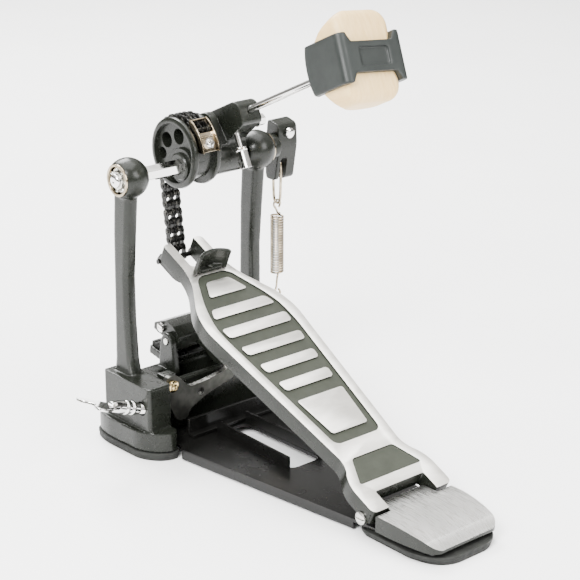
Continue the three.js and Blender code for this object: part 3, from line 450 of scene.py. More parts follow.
def bar(radius, start, end, sides=24, end_radius=None):
    """A round bar between two points."""
    bm = bmesh.new()
    start, end = Vector(start), Vector(end)
    way = end - start
    turn = way.to_track_quat("Z", "Y").to_matrix().to_4x4()
    bmesh.ops.create_cone(
        bm,
        cap_ends=True,
        segments=sides,
        radius1=radius,
        radius2=radius if end_radius is None else end_radius,
        depth=way.length,
        matrix=Matrix.Translation((start + end) / 2) @ turn,
    )
    return bm


def block(x0, x1, y0, y1, z0, z1, place=None):
    return slab([(x0, y0), (x1, y0), (x1, y1), (x0, y1)], z0, z1, place=place)


def ball(radius, place):
    bm = bmesh.new()
    bmesh.ops.create_uvsphere(bm, u_segments=48, v_segments=32, radius=radius, matrix=place)
    return bm


def gather(*parts):
    """Puts several bmeshes into one without joining their surfaces."""
    whole = bmesh.new()
    for part in parts:
        mesh = bpy.data.meshes.new("part")
        part.to_mesh(mesh)
        part.free()
        whole.from_mesh(mesh)
        bpy.data.meshes.remove(mesh)
    return whole


def again(bm, place):
    """A transformed copy."""
    twin = bm.copy()
    twin.transform(place)
    return twin


# %% [markdown]
# Castings are several shapes fused and then cut. Booleans do that on temporary objects. A sand casting has
# no sharp inner corners, so `cast` skins the fused shape with small even faces and relaxes them, which
# rounds every edge and fills every corner a little.


# %% Fuse, cut, common, cast
def through_modifiers(bm, dress, tools=()):
    """Runs a bmesh through modifiers on a temporary object and takes the result back."""
    made = []
    for source in (bm, *tools):
        mesh = bpy.data.meshes.new("temporary")
        source.to_mesh(mesh)
        source.free()
        obj = bpy.data.objects.new("temporary", mesh)
        bpy.context.scene.collection.objects.link(obj)
        made.append(obj)
    dress(made[0], made[1:])
    bpy.context.view_layer.update()
    result = bmesh.new()
    result.from_object(made[0], bpy.context.evaluated_depsgraph_get())
    for obj in made:
        mesh = obj.data
        bpy.data.objects.remove(obj)
        bpy.data.meshes.remove(mesh)
    return result


def boolean(operation, bm, tools):
    def dress(host, cutters):
        for cutter in cutters:
            modifier = host.modifiers.new("shape", "BOOLEAN")
            modifier.operation, modifier.solver, modifier.object = operation, "EXACT", cutter

    return through_modifiers(bm, dress, tools)


def fuse(bm, *tools):
    return boolean("UNION", bm, tools)


def cut(bm, *tools):
    return boolean("DIFFERENCE", bm, tools)


def common(bm, *tools):
    return boolean("INTERSECT", bm, tools)


def cast(bm, grain=0.7, rounds=4):
    def dress(host, _):
        skin = host.modifiers.new("skin", "REMESH")
        skin.mode, skin.voxel_size, skin.adaptivity = "VOXEL", grain, 0.0
        soft = host.modifiers.new("soft", "SMOOTH")
        soft.factor, soft.iterations = 0.5, rounds

    return through_modifiers(bm, dress)


# %% [markdown]
# A wire is a tube along a smooth line. The curve object does this best: it keeps the section square to the
# line at every point, and its mesh is taken over once.


# %% Wire
def wire(points, radius, closed=False, sides=6, smooth=6):
    """A round wire along points, in millimetres."""
    curve = bpy.data.curves.new("wire", "CURVE")
    curve.dimensions, curve.bevel_depth = "3D", radius
    curve.bevel_resolution, curve.resolution_u, curve.use_fill_caps = sides // 2, smooth, True
    line = curve.splines.new("NURBS")
    line.points.add(len(points) - 1)
    for point, place in zip(line.points, points):
        point.co = (*place, 1)
    line.order_u, line.use_endpoint_u, line.use_cyclic_u = 4, not closed, closed
    obj = bpy.data.objects.new("wire", curve)
    bpy.context.scene.collection.objects.link(obj)
    bpy.context.view_layer.update()
    mesh = bpy.data.meshes.new_from_object(obj.evaluated_get(bpy.context.evaluated_depsgraph_get()))
    bm = bmesh.new()
    bm.from_mesh(mesh)
    bpy.data.objects.remove(obj)
    bpy.data.curves.remove(curve)
    bpy.data.meshes.remove(mesh)
    bmesh.ops.remove_doubles(bm, verts=bm.verts[:], dist=0.0005)
    bmesh.ops.recalc_face_normals(bm, faces=bm.faces[:])
    return bm


# %% [markdown]
# Last, a piece is finished: scaled to metres, given its materials, its small edge rounding and its body. A
# sharp machined edge still has a radius, and without it no highlight runs along it.


# %% Finish a piece
SLOTS = {"charcoal": "charcoal_paint", "panel_paint": "charcoal_paint", "chain_black": "black_steel"}
SLOTS |= {"aluminium": "polished_aluminium", "heel_aluminium": "polished_aluminium"}
SLOTS |= {"zinc_steel": "steel", "lever_steel": "steel"}


def piece(name, bm, materials, body, node, edge=0.3, steps=2, limit=32, place=None):
    """Makes the object that stands for one CAD node.

    edge is the radius in millimetres put on every edge sharper than limit degrees.
    """
    if place:
        bm.transform(place)
    bm.transform(Matrix.Scale(MM, 4))
    mesh = bpy.data.meshes.new(name)
    bm.to_mesh(mesh)
    bm.free()
    materials = materials if isinstance(materials, list) else [materials]
    for material in materials:
        mesh.materials.append(material)
    mesh.shade_smooth()
    obj = bpy.data.objects.new(name, mesh)
    bpy.context.scene.collection.objects.link(obj)
    if edge:
        rounding = obj.modifiers.new("edges", "BEVEL")
        rounding.width, rounding.segments = edge * MM, steps
        rounding.limit_method, rounding.angle_limit = "ANGLE", rad(limit)
        rounding.harden_normals = True
        rounding.use_clamp_overlap = True
    else:
        mesh.set_sharp_from_angle(angle=rad(limit))
    if body:
        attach(obj, body)
    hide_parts(node)
    print(f"{name}: {len(mesh.polygons)} faces on {body}")
    return obj


# %% [markdown]
# ## Screws
# Screws are all one family: a turned head, domed or flat, with a straight slot. One helper makes them all,
# standing on local Z.


# %% Screw heads
def screw(radius, height, dome=0.4, slot_width=0.0, shank=0.0, length=0.0, dimple=0.0):
    """A screw head with its underside at zero and an optional shank below."""
    profile = [(0, -length), (shank, -length), (shank, 0)] if shank else [(0, 0)]
    profile += [(radius, 0), (radius, height - dome), (radius * 0.8, height - dome * 0.35)]
    if dimple:
        profile += [(dimple * 1.3, height), (dimple, height - 0.1), (0, height - dimple * 0.7)]
    else:
        profile += [(radius * 0.4, height), (0, height)]
    bm = lathe(profile, steps=40)
    if slot_width:
        cutter = block(-radius * 2, radius * 2, -slot_width / 2, slot_width / 2, height - 1.0, height + 2)
        bm = cut(bm, cutter)
    return bm


# %% [markdown]
# ## The base
# The base is a folded steel sheet, glossy black, that narrows towards the heel. A long slot lightens it, and
# the metal beside the slot is folded up into two stiffening walls. Each long edge is folded down.

# %% Base plate
PLATE_LOW, PLATE_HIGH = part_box("heel_pad")[1].z / MM + 0.3, 8.0
plate_half = [(26, -39), (30, 10), (31, 24), (50, 178), (46, 179), (46, 236)]
sheet = slab(mirror_half(plate_half), PLATE_LOW, PLATE_HIGH, 3)
slot_half = [(13.2, 105), (11.7, 182)]
folds = []
for side in (-1, 1):
    flange = [(31 * side, 26), (50 * side, 176), (48.2 * side, 176), (29.2 * side, 26)]
    folds.append(slab(flange, 1.2, PLATE_HIGH - 0.6))
    wall = [(14.9 * side, 106), (13.4 * side, 183), (12.0 * side, 183), (13.5 * side, 106)]
    folds.append(slab(wall, PLATE_LOW + 0.6, PLATE_HIGH + 8.5))
base = cut(fuse(sheet, *folds), slab(mirror_half(slot_half), 4, 12, 5))
piece("base_sheet", base, black, "frame", "base_plate", edge=0.7, steps=3)

# %% [markdown]
# Two rubber feet sit under the posts and a third under the heel. Each has a thin lip that stands out round
# the part above, which is what shows from the front.


# %% Rubber feet
def foot_outline(side, grow=0.0, front=0.0):
    points = [(47 - grow, 180 - grow), (60 + grow, 182 - grow), (70 + grow, 196 - grow)]
    points += [(71 + grow, 236), (66 + grow, 251 + grow), (47 - grow, 251 + grow)]
    return [(x * side, y) for x, y in points]


PAD_HIGH = PLATE_LOW - 0.3
for name, side in (("left", -1), ("right", 1)):
    sole_pad = slab(foot_outline(side, 0.6), 0, 3.4, 7, 8)
    lip = slab(foot_outline(side, 0.9), 2.9, PAD_HIGH, 7, 8)
    piece(f"{name}_foot", gather(sole_pad, lip), rubber, "frame", f"{name}_foot_pad", edge=0.6, steps=3)

heel_outline = [(30.5, 23), (30.5, -30), (20, -47), (-20, -47), (-30.5, -30), (-30.5, 23)]
heel_lip = [(x * 1.07, y if y < 0 else y - 0.5) for x, y in heel_outline]
heel_foot = gather(slab(heel_outline, 0, 3.2, 10, 10), slab(heel_lip, 2.7, PAD_HIGH, 10, 10))
piece("heel_foot", heel_foot, rubber, "frame", "heel_pad", edge=0.7, steps=3)

# %% [markdown]
# ## Heel plate
# A casting whose top is ground bright and falls away in a curve to the back, with painted sides. Its side
# view is extruded across, trimmed to its plan, and a knuckle is fused on that carries the hinge. Faces that
# look up get the bright finish, and the rest stays painted.

# %% Heel plate
top_z = board_origin
heel_side = [(4, 8.3), (4, top_z), (-20, top_z + 0.2), (-38.5, 14.2), (-43.2, 10.4), (-43.2, 8.3)]
body = slab(heel_side, -33, 33, [0, 0.8, 16, 6, 1.2, 0.5], 8, TO_X)
heel_plan = [(33, 5), (33, -18), (28, -43.4), (-28, -43.4), (-33, -18), (-33, 5)]
body = common(body, slab(heel_plan, 0, 40, [0.01, 14, 8, 8, 14, 0.01], 8))
tongue_side = [(2, 9.2), (2, top_z), (HINGE.y - 1, top_z), (HINGE.y + 2.6, top_z - 0.8)]
tongue_side += [(HINGE.y + 4.6, HINGE.z + 1), (HINGE.y + 4.6, HINGE.z - 1)]
tongue_side += [(HINGE.y, HINGE.z - 4.6), (HINGE.y - 4, 9.2)]
tongue = slab(tongue_side, -20.2, 20.2, [0, 0, 2, 1.5, 1.5, 1.5, 2, 0], 4, TO_X)
heel = cut(fuse(body, tongue), bar(3.3, (-40, *HINGE.yz), (40, *HINGE.yz)))
for face in heel.faces:
    middle = face.calc_center_median()
    upward = face.normal.z > (0.55 if middle.y > -36 else 0.35)
    face.material_index = 0 if upward and middle.z > 9.6 else 1
piece("heel_cover", heel, [heel_metal, charcoal], "frame", "heel_plate", edge=0.5, steps=3)

# %% [markdown]
# The hinge pin shows as a small slotted screw on each side of the board's lugs.

# %% Heel hinge pin
pin = bar(3, (-34.6, *HINGE.yz), (34.6, *HINGE.yz))
heads = [
    again(screw(4.2, 1.9, dome=0.7, slot_width=0.9), Matrix.Translation((side * 34.6, *HINGE.yz)) @ turn)
    for side, turn in ((1, TO_X), (-1, Matrix.Rotation(math.pi, 4, "Z") @ TO_X))
]
piece("hinge_screws", gather(pin, *heads), steel, "frame", "heel_hinge_pin", edge=0.15)

# %% [markdown]
# ## Footboard
# One aluminium casting. Seen from above it runs from two heel lugs through a narrow waist to a wide middle
# and ends in two prongs that hold the chain. A shallow painted panel is sunk in the top, and seven bright
# treads stand up out of it. It is drawn lying flat in its own frame and then tilted onto the hinge.

# %% Footboard outline
DEPTH, SKIN, SUNK = 11.0, 4.5, 1.2
board_half = [(34.4, 4.8), (34.4, 31), (24.9, 44), (39.9, 187), (17.3, 226), (17, 262)]
board_corner = [4, 8, 7, 15, 12, 3]
outline = mirror_half(board_half)
corners = [*board_corner, *reversed(board_corner)]
panel_half = [(19.6, 60.5), (31.0, 172), (28.5, 192), (13, 226)]
hollow_half = [(21.6, 60), (34.2, 172), (32.0, 193), (13, 222)]
TREADS = [
    # start and end up the slope, half width at each
    (205, 219, 16.4, 9.8),
    (185.8, 194.3, 26.4, 23.2),
    (167, 176, 27, 27.8),
    (148.8, 157, 24.6, 25.8),
    (130.8, 139, 22.4, 23.4),
    (112.3, 120.8, 20.4, 21.5),
    (69.3, 102.2, 15.2, 19.6),
]
badge_half = [(26.8, 27), (17.6, 47)]
hinge_local = BOARD.inverted() @ Vector((0, HINGE.y, HINGE.z))
blank = slab(outline, -DEPTH, 0, corners, 8)
hollow = slab(mirror_half(hollow_half), -DEPTH - 1, -SKIN, [7, 10, 12, 6, 6, 12, 10, 7], 6)
panel = slab(mirror_half(panel_half), -SUNK, 1, [5, 12, 14, 6, 6, 14, 12, 5], 7)
badge_sunk = slab(mirror_half(badge_half), -SUNK, 1, 2.2, 5)
heel_notch = slab([(-21, 0), (21, 0), (21, 18.8), (-21, 18.8)], -30, 1, [0, 0, 1.2, 1.2])
toe_notch = slab([(-10, 236), (10, 236), (10, 300), (-10, 300)], -30, 1, [2.5, 2.5, 0, 0])
casting = cut(blank, hollow, heel_notch, toe_notch, panel, badge_sunk)
print("footboard blank:", len(casting.faces), "faces")

# %% [markdown]
# Ribs under the skin, hinge lugs below the heel, chins below the prongs and the raised treads are fused on,
# and the two cross holes are bored last so that they pass through everything.

# %% Footboard details
ribs = [block(-30, 30, s - 1.1, s + 1.1, -8.5, -SKIN + 0.5) for s in (96, 126, 156, 186)]
ribs = [common(rib, slab(mirror_half(hollow_half), -9, -3, 4, 3)) for rib in ribs]
spine = block(-1.2, 1.2, 62, 220, -8.5, -SKIN + 0.5)
treads = [
    slab(mirror_half([(w0, s0), (w1, s1)]), -SUNK - 0.4, 0, [2.6 if s1 - s0 < 20 else 2.0] * 4, 6)
    for s0, s1, w0, w1 in TREADS
]
lugs = []
toe_pin = BOARD.inverted() @ Vector((0, 242.0, 118.0))
for side in (-1, 1):
    lug = [(hinge_local.y - 5, -4), (hinge_local.y - 5, hinge_local.z - 4)]
    lug += [(hinge_local.y + 5.5, hinge_local.z - 4), (hinge_local.y + 6, -4)]
    low, high = sorted((21.2 * side, 34.2 * side))
    lugs.append(slab(lug, low, high, [0, 4.6, 4.6, 0], 8, TO_X))
    chin = [(228, -8), (262, -8), (264, -15), (240, -15)]
    low, high = sorted((10.4 * side, 16.6 * side))
    lugs.append(slab(chin, low, high, [0, 0, 2.5, 5], 5, TO_X))
casting = fuse(casting, *ribs, spine, *treads, *lugs)
casting = cut(
    casting,
    bar(3.3, (-40, hinge_local.y, hinge_local.z), (40, hinge_local.y, hinge_local.z)),
    bar(2.1, (-20, toe_pin.y, toe_pin.z), (20, toe_pin.y, toe_pin.z)),
)
for face in casting.faces:
    middle = face.calc_center_median()
    level = face.normal.z > 0.9
    if level and middle.z > -0.1:
        face.material_index = 0
    elif level and middle.z > -2:
        face.material_index = 2
    else:
        face.material_index = 1
rim = [
    edge
    for edge in casting.edges
    if len(edge.link_faces) == 2
    and all(abs(vert.co.z) < 0.01 for vert in edge.verts)
    and sorted(face.material_index for face in edge.link_faces) == [0, 1]
]
round_off(casting, rim, 0.55, 3, material=0)
piece(
    "foot_board", casting, [aluminium, charcoal, panel_paint], "board", "footboard", edge=0.35, steps=2,
    place=BOARD
)

# %% [markdown]
# A plain painted plate fills the badge recess near the heel, and a cast scoop above the panel stops the
# player's toe. The scoop is a curved wall, hollow towards the player, with a small foot and a screw.

# %% Badge plate and toe stop
badge = slab(mirror_half([(26.4, 27.4), (17.3, 46.6)]), -SUNK + 0.2, -0.35, 2.0, 5)
piece("badge", badge, panel_paint, "board", "badge_plate", edge=0.25, place=BOARD)

scoop = lathe([(20.5, 0.3), (23.6, 0.3), (23.0, 16), (20.8, 16)], at(0, 210.6, 0), steps=96, closed=True)
scoop = common(scoop, slab([(-13.4, 226), (13.4, 226), (12.6, 240), (-12.6, 240)], -1, 20, [0, 0, 0, 0]))
apron = slab([(-9.5, 226.8), (9.5, 226.8), (9.5, 233), (-9.5, 233)], 0.3, 3.6, 1.5, 4)
cheek_half = [(10.6, 227.5), (13.4, 226.5), (13.2, 231), (10.6, 231)]
cheeks = [slab([(x * side, y) for x, y in cheek_half], 0.3, 13.5, 0.8, 4) for side in (-1, 1)]
scoop = cast(cut(fuse(scoop, apron, *cheeks), bar(2.0, (0, 229.6, 1.2), (0, 229.6, 9))), 0.45, 4)
piece("toe_scoop", scoop, charcoal, "board", "toe_stop", edge=0, limit=60, place=BOARD)
piece(
    "toe_stop_head", screw(2.6, 1.6, dome=0.6, slot_width=0.7, shank=1.5, length=3), charcoal, "board",
    "toe_stop_screw", edge=0.1, place=BOARD @ at(0, 229.6, 4.0)
)
piece(
    "toe_pin", bar(1.8, (-17.5, toe_pin.y, toe_pin.z), (17.5, toe_pin.y, toe_pin.z)), black, "board",
    "chain_pin", edge=0.2, place=BOARD
)

# %% [markdown]
# ## Posts
# Each post is a casting with a round bearing housing at the top, a slightly waisted stem and a square tower
# on a foot. The wing bolt passes through the left tower. Fused and cast, then bored, so that the bearing
# seat stays a clean machined circle.

# %% Posts
HOUSING_X, HOUSING_R, FACE_X = 55.0, 14.0, 64.4
stem_points = [(214, 40), (219.5, 62), (221.4, 90), (221.6, 120), (219.0, 150), (215.2, 190)]
stem_points += [(232.8, 190), (235.3, 150), (236, 110), (237, 60), (240, 40)]


def post(side):
    def span(inner, outer):
        return sorted((side * inner, side * outer))

    stem = slab(stem_points, *span(50, 60), place=TO_X)
    long_edges = [edge for edge in stem.edges if abs(edge.verts[0].co.x - edge.verts[1].co.x) < 0.01]
    round_off(stem, long_edges, 3.4, 4)
    housing = common(
        ball(HOUSING_R, at(side * HOUSING_X, SHAFT_Y, SHAFT_Z)),
        bar(20, (side * 43, SHAFT_Y, SHAFT_Z), (side * FACE_X, SHAFT_Y, SHAFT_Z), 48),
    )
    foot = slab(foot_outline(side), PLATE_LOW, 19.6, 7, 6)
    left, right_edge = span(47, 66)
    tower_plan = [(left, 190), (right_edge, 190), (right_edge, 242), (left, 242)]
    tower = slab(tower_plan, 17, 51, 2.0, 4)
    solid = cast(fuse(stem, housing, foot, tower), 0.75, 5)
    left, right_edge = span(46, 62)
    room_inside = slab([(left, 193.5), (right_edge, 193.5), (right_edge, 213), (left, 213)], 14, 47, 1, 3)
    seat_from = FACE_X - 7.1
    tools = [
        room_inside,
        bar(11.3, (side * seat_from, SHAFT_Y, SHAFT_Z), (side * 80, SHAFT_Y, SHAFT_Z), 64),
        bar(7.5, (side * 30, SHAFT_Y, SHAFT_Z), (side * 80, SHAFT_Y, SHAFT_Z), 48),
    ]
    if side < 0:
        tools.append(bar(4.8, BOLT @ Vector((0, 0, 10)), BOLT @ Vector((0, 0, 40)), 32))
    return cut(solid, *tools)


for name, side in (("left", -1), ("right", 1)):
    piece(f"{name}_post", post(side), charcoal, "frame", f"{name}_upright", edge=0, limit=40)

# %% [markdown]
# ## Ball bearings
# A bright outer ring with a groove, a caged row of seven balls and an inner ring. The cage turns at about
# four tenths of the axle's rate, so it rides on its own body.


# %% Bearings
def ring(inner, outer, depth, soften=0.3):
    section = [(inner, 0), (inner, depth), (outer, depth), (outer, 0)]
    return lathe(section, steps=72, soften=soften, closed=True)


for name, side in (("left", -1), ("right", 1)):
    outward = TO_X if side > 0 else Matrix.Rotation(math.pi, 4, "Z") @ TO_X
    seat = Matrix.Translation((side * (FACE_X - 6.8), SHAFT_Y, SHAFT_Z)) @ outward
    outer = lathe(
        [(9.2, 0), (9.2, 2.0), (9.8, 2.8), (9.8, 4.0), (9.2, 5.0), (9.2, 6.8), (11, 6.8), (11, 0)],
        steps=72,
        soften=0.25,
        closed=True,
    )
    piece(
        f"{name}_race", outer, nickel, "frame", f"{name}_bearing_outer", edge=0, limit=40,
        place=seat
    )
    inner = lathe([(4.3, 0), (4.3, 6.8), (6.0, 6.8), (6.0, 0)], steps=56, soften=0.3, closed=True)
    piece(f"{name}_sleeve", inner, steel, "axle", f"{name}_bearing_inner", edge=0, limit=40, place=seat)
    balls = [
        ball(1.55, at(7.6 * math.cos(turn), 7.6 * math.sin(turn), 4.6))
        for turn in (2 * math.pi * k / 7 for k in range(7))
    ]
    cage = gather(*balls, again(ring(6.7, 8.5, 2.4), at(0, 0, 2.2)))
    piece(
        f"{name}_cage_ring", cage, steel, f"{name}_cage", f"{name}_bearing_cage", edge=0, limit=40,
        place=seat
    )

# %% [markdown]
# ## Axle and cam wheel
# The axle is a bright hexagonal bar with round ends. A domed screw closes its left end. The chain wheel sits
# off centre on it, which gives the pedal its feel: two thick rims, a sunk web with round windows, and a hub
# that fits the hexagon.

# %% Axle
HEX_R = 9.5 / 2 / math.cos(math.pi / 6)
axle_line = Matrix.Translation(AXLE) @ TO_X
hexagon = bar(HEX_R, (-44, SHAFT_Y, SHAFT_Z), (44, SHAFT_Y, SHAFT_Z), 6)
journal = bar(4, (-FACE_X, SHAFT_Y, SHAFT_Z), (88, SHAFT_Y, SHAFT_Z), 48)
piece("axle_bar", fuse(hexagon, journal), chrome, "axle", "hex_shaft", edge=0.35)
end_place = Matrix.Translation((-FACE_X - 0.2, SHAFT_Y, SHAFT_Z)) @ Matrix.Rotation(math.pi, 4, "Z") @ TO_X
piece(
    "axle_end_screw", screw(4.6, 2.4, dome=1.2, dimple=1.2), chrome, "axle", "shaft_end_screw", edge=0,
    limit=50, place=end_place
)

# %% [markdown]
# The wheel is turned on the lathe about its own centre, and its windows and hexagon are cut with booleans.

# %% Cam wheel
CAM = Matrix.Translation(AXLE + Vector((0, 7.8, 7.6))) @ TO_X
RIM_R, CORE_R, NEAR_X, FAR_X = 24.7, 20.0, -12.0, 11.5
wheel_profile = [
    (0, NEAR_X + 3.4),
    (20.0, NEAR_X + 3.4),
    (20.6, NEAR_X + 0.2),
    (22.2, NEAR_X - 0.1),
    (24.2, NEAR_X + 0.9),
    (RIM_R, NEAR_X + 2.4),
    (24.2, NEAR_X + 3.9),
    (21.0, NEAR_X + 4.2),
    (CORE_R, NEAR_X + 4.6),
    (CORE_R, FAR_X - 4.6),
    (21.0, FAR_X - 4.2),
    (24.2, FAR_X - 3.9),
    (RIM_R, FAR_X - 2.4),
    (24.2, FAR_X - 0.6),
    (22.2, FAR_X),
    (0, FAR_X),
]
wheel = lathe(wheel_profile, CAM, steps=96)
boss_profile = [(0, NEAR_X - 1.5), (8.4, NEAR_X - 1.5), (9.4, NEAR_X - 0.6)]
boss_profile += [(9.8, NEAR_X + 5), (0, NEAR_X + 5)]
boss = lathe(boss_profile, axle_line, steps=64)
step_profile = [(0, NEAR_X + 1), (12.2, NEAR_X + 1), (12.6, NEAR_X + 1.6), (12.6, 0), (0, 0)]
step_ring = lathe(step_profile, axle_line, steps=64)
windows = []
for turn, out, window_r in ((34, 12.4, 5.5), (104, 12.0, 5.5), (-12, 15.4, 4.0)):
    spot = CAM @ at(out * math.cos(rad(turn)), out * math.sin(rad(turn)), 0)
    windows.append(bar(window_r, spot @ Vector((0, 0, NEAR_X - 2)), spot @ Vector((0, 0, FAR_X + 2)), 36))
hex_room = bar(HEX_R + 0.3, (-30, SHAFT_Y, SHAFT_Z), (30, SHAFT_Y, SHAFT_Z), 6)
trimmed = common(step_ring, lathe([(0, NEAR_X), (20.2, NEAR_X), (20.2, 1), (0, 1)], CAM, steps=64))
wheel = cut(fuse(wheel, boss, trimmed), *windows, hex_room)
piece("cam", wheel, charcoal, "axle", "cam_wheel", edge=0.3, steps=2, limit=38)

# %% [markdown]
# ## Chain
# A small double-strand roller chain. Inner links carry the rollers and outer links carry the pins, turn and
# turn about. One plate outline serves them all. Four links turn on their own pins where the run leaves the
# wheel, the rest of the run hangs straight, and the wrapped part turns with the wheel.


# %% Chain links
PITCH = 6.35
PLATE = [(-2.8, -2.8), (1.4, -2.8), (3.175, -1.9), (4.95, -2.8), (9.15, -2.8)]
PLATE += [(a, -b) for a, b in reversed(PLATE)]
PLATE_CORNERS = [2.7, 0.7, 1.2, 0.7, 2.7, 2.7, 0.7, 1.2, 0.7, 2.7]


def link(outer):
    """A link between the local points (0, 0) and (PITCH, 0), with its width along local Z."""
    parts = []
    walls = (-6.3, -0.4, 5.5) if outer else (-5.4, -1.8, 1.0, 4.6)
    for low in walls:
        parts.append(slab(PLATE, low, low + 0.8, PLATE_CORNERS, 3))
    for along in (0, PITCH):
        if outer:
            rivet = [(0, -6.9), (1.1, -6.9), (1.4, -6.5), (1.4, -6.2), (1.15, -6.2)]
            rivet += [(r, -h) for r, h in reversed(rivet)]
            parts.append(lathe(rivet, at(along, 0, 0), steps=14))
        else:
            for side in (-1, 1):
                low, high = sorted((side * 1.9, side * 4.5))
                parts.append(bar(2.05, (along, 0, low), (along, 0, high), 14))
    return gather(*parts)


def chain_run(points, outer_first):
    """Links along a line of pivots, as one mesh."""
    run = []
    for index, (start, end) in enumerate(zip(points, points[1:])):
        turn = math.atan2(end.z - start.z, end.y - start.y)
        place = Matrix.Translation(start) @ Matrix.Rotation(turn, 4, "X") @ TO_X
        run.append(again(link(outer_first == (index % 2 == 0)), place))
    return gather(*run)


pins = [pivot(f"chain_pin_{k}") for k in range(1, 6)]
for k in range(4):
    piece(
        f"link_{k + 1}", chain_run(pins[k : k + 2], k % 2 == 1), chain_black, f"chain_{k + 1}",
        f"chain_link_{k + 1}", edge=0.12, steps=1
    )

# %% [markdown]
# The hanging run is divided into whole pitches from the last pin down to the toe pin, and the wrapped run
# follows the wheel's pitch circle up and over to its anchor.

# %% Hanging and wrapped runs
TOE = BOARD @ Vector((0, toe_pin.y, toe_pin.z))
fall = TOE - pins[4]
count = round(fall.length / PITCH)
hanging = [pins[4] + fall * (k / count) for k in range(count + 1)]
piece(
    "chain_fall", chain_run(hanging, False), chain_black, "chain_hanging", "chain_drop", edge=0.12,
    steps=1
)
cam_centre = AXLE + Vector((0, 7.8, 7.6))
first = math.atan2(pins[0].z - cam_centre.z, pins[0].y - cam_centre.y)
pitch_r = (pins[0] - cam_centre).length
pitch_turn = 2 * math.asin(PITCH / 2 / pitch_r)
angles = [first + k * pitch_turn for k in range(6)]
around = [cam_centre + Vector((0, math.cos(angle), math.sin(angle))) * pitch_r for angle in angles]
piece("chain_wrap", chain_run(around, True), chain_black, "axle", "wrapped_chain", edge=0.12, steps=1)

# %% [markdown]
# The chain ends in a bright bracket that follows the rim: two thin rails, a cross plate and a slotted screw.
# A profile swept through part of a turn makes each of them.


# %% Chain anchor
def swept(r0, r1, h0, h1, from_deg, to_deg, place, steps=14):
    """A rectangular section swept part of the way round local Z."""
    bm = bmesh.new()
    loop = [bm.verts.new((r, 0, h)) for r, h in ((r0, h0), (r1, h0), (r1, h1), (r0, h1))]
    for a, b in zip(loop, loop[1:] + loop[:1]):
        bm.edges.new((a, b))
    bmesh.ops.rotate(bm, verts=bm.verts[:], cent=(0, 0, 0), matrix=Matrix.Rotation(rad(from_deg), 3, "Z"))
    bmesh.ops.spin(
        bm,
        geom=bm.verts[:] + bm.edges[:],
        cent=(0, 0, 0),
        axis=(0, 0, 1),
        angle=rad(to_deg - from_deg),
        steps=steps,
        use_merge=False,
    )
    bmesh.ops.holes_fill(bm, edges=[edge for edge in bm.edges if edge.is_boundary], sides=0)
    bmesh.ops.recalc_face_normals(bm, faces=bm.faces[:])
    bm.transform(place)
    return bm


rails = [swept(24.6, 28.5, h, h + 1.0, 118, 171, CAM) for h in (-7.1, 6.1)]
bracket = gather(
    *rails,
    swept(20.6, 26.4, -6.0, 6.0, 141, 170.5, CAM),
    swept(24.6, 27.6, -6.0, 6.0, 116.6, 118.6, CAM, 2),
    swept(26.2, 27.4, -4.6, 4.6, 145, 149, CAM, 3),
)
piece("anchor_bracket", bracket, nickel, "axle", "chain_anchor", edge=0.25)
spot = CAM @ Matrix.Rotation(rad(158), 4, "Z") @ Matrix.Rotation(rad(90), 4, "Y")
slotted = again(screw(2.7, 1.4, dome=0.5, slot_width=0.9), at(0, 0, 1.4))
anchor_head = gather(bar(3.9, (0, 0, 0), (0, 0, 1.6), 6), slotted)
piece(
    "anchor_screw", anchor_head, chrome, "axle", "chain_anchor_screw", edge=0.12,
    place=spot @ Matrix.Rotation(rad(90), 4, "Z") @ at(0, 0, 26.2)
)

# %% [markdown]
# ## Beater hub
# A black casting clamped on the hexagon, with an ear that touches the wheel and a faceted block that holds
# the beater rod. It is drawn square to the rod and cast.

# %% Hub
ACROSS_ROD = ROD @ at(-ROD_X, -ROD_OFFSET, 0)  # X across, Y away from the axle, Z along the rod
IN_ROD_PLANE = ACROSS_ROD @ Matrix(((0, 0, 1, 0), (0, 1, 0, 0), (1, 0, 0, 0), (0, 0, 0, 1)))
EAR = [(-11, 0), (-9, 24), (6, 33), (18, 28), (11, 0), (0, -11)]
TOWER = [(-9, 0), (-5, 32), (30, 32), (34, 28), (34, 15), (11, 9), (9, 0)]
collar = lathe([(0, 11.8), (11, 11.8), (11, 39), (10, 40), (0, 40)], axle_line, steps=64)
ear = slab(EAR, 11.8, 17.5, 6, 6, IN_ROD_PLANE)
tower = slab(TOWER, 24, 41, 2.4, 3, IN_ROD_PLANE)
waist = slab([(-7, 6), (-4, 28), (8, 28), (12, 6)], 16, 26, 3, 4, IN_ROD_PLANE)
bmesh.ops.recalc_face_normals(ear, faces=ear.faces[:])
bmesh.ops.recalc_face_normals(tower, faces=tower.faces[:])
bmesh.ops.recalc_face_normals(waist, faces=waist.faces[:])
hub = cast(fuse(collar, ear, tower, waist), 0.5, 3)
hub = cut(
    hub,
    bar(HEX_R + 0.3, (0, SHAFT_Y, SHAFT_Z), (60, SHAFT_Y, SHAFT_Z), 6),
    bar(2.8, ROD @ Vector((0, 0, -30)), ROD @ Vector((0, 0, 60)), 32),
)
piece("hub", hub, charcoal, "axle", "beater_hub", edge=0, limit=45)

# %% [markdown]
# A square-headed key bolt hangs below the rod and locks it, and a hexagon bolt clamps the block from the
# side.

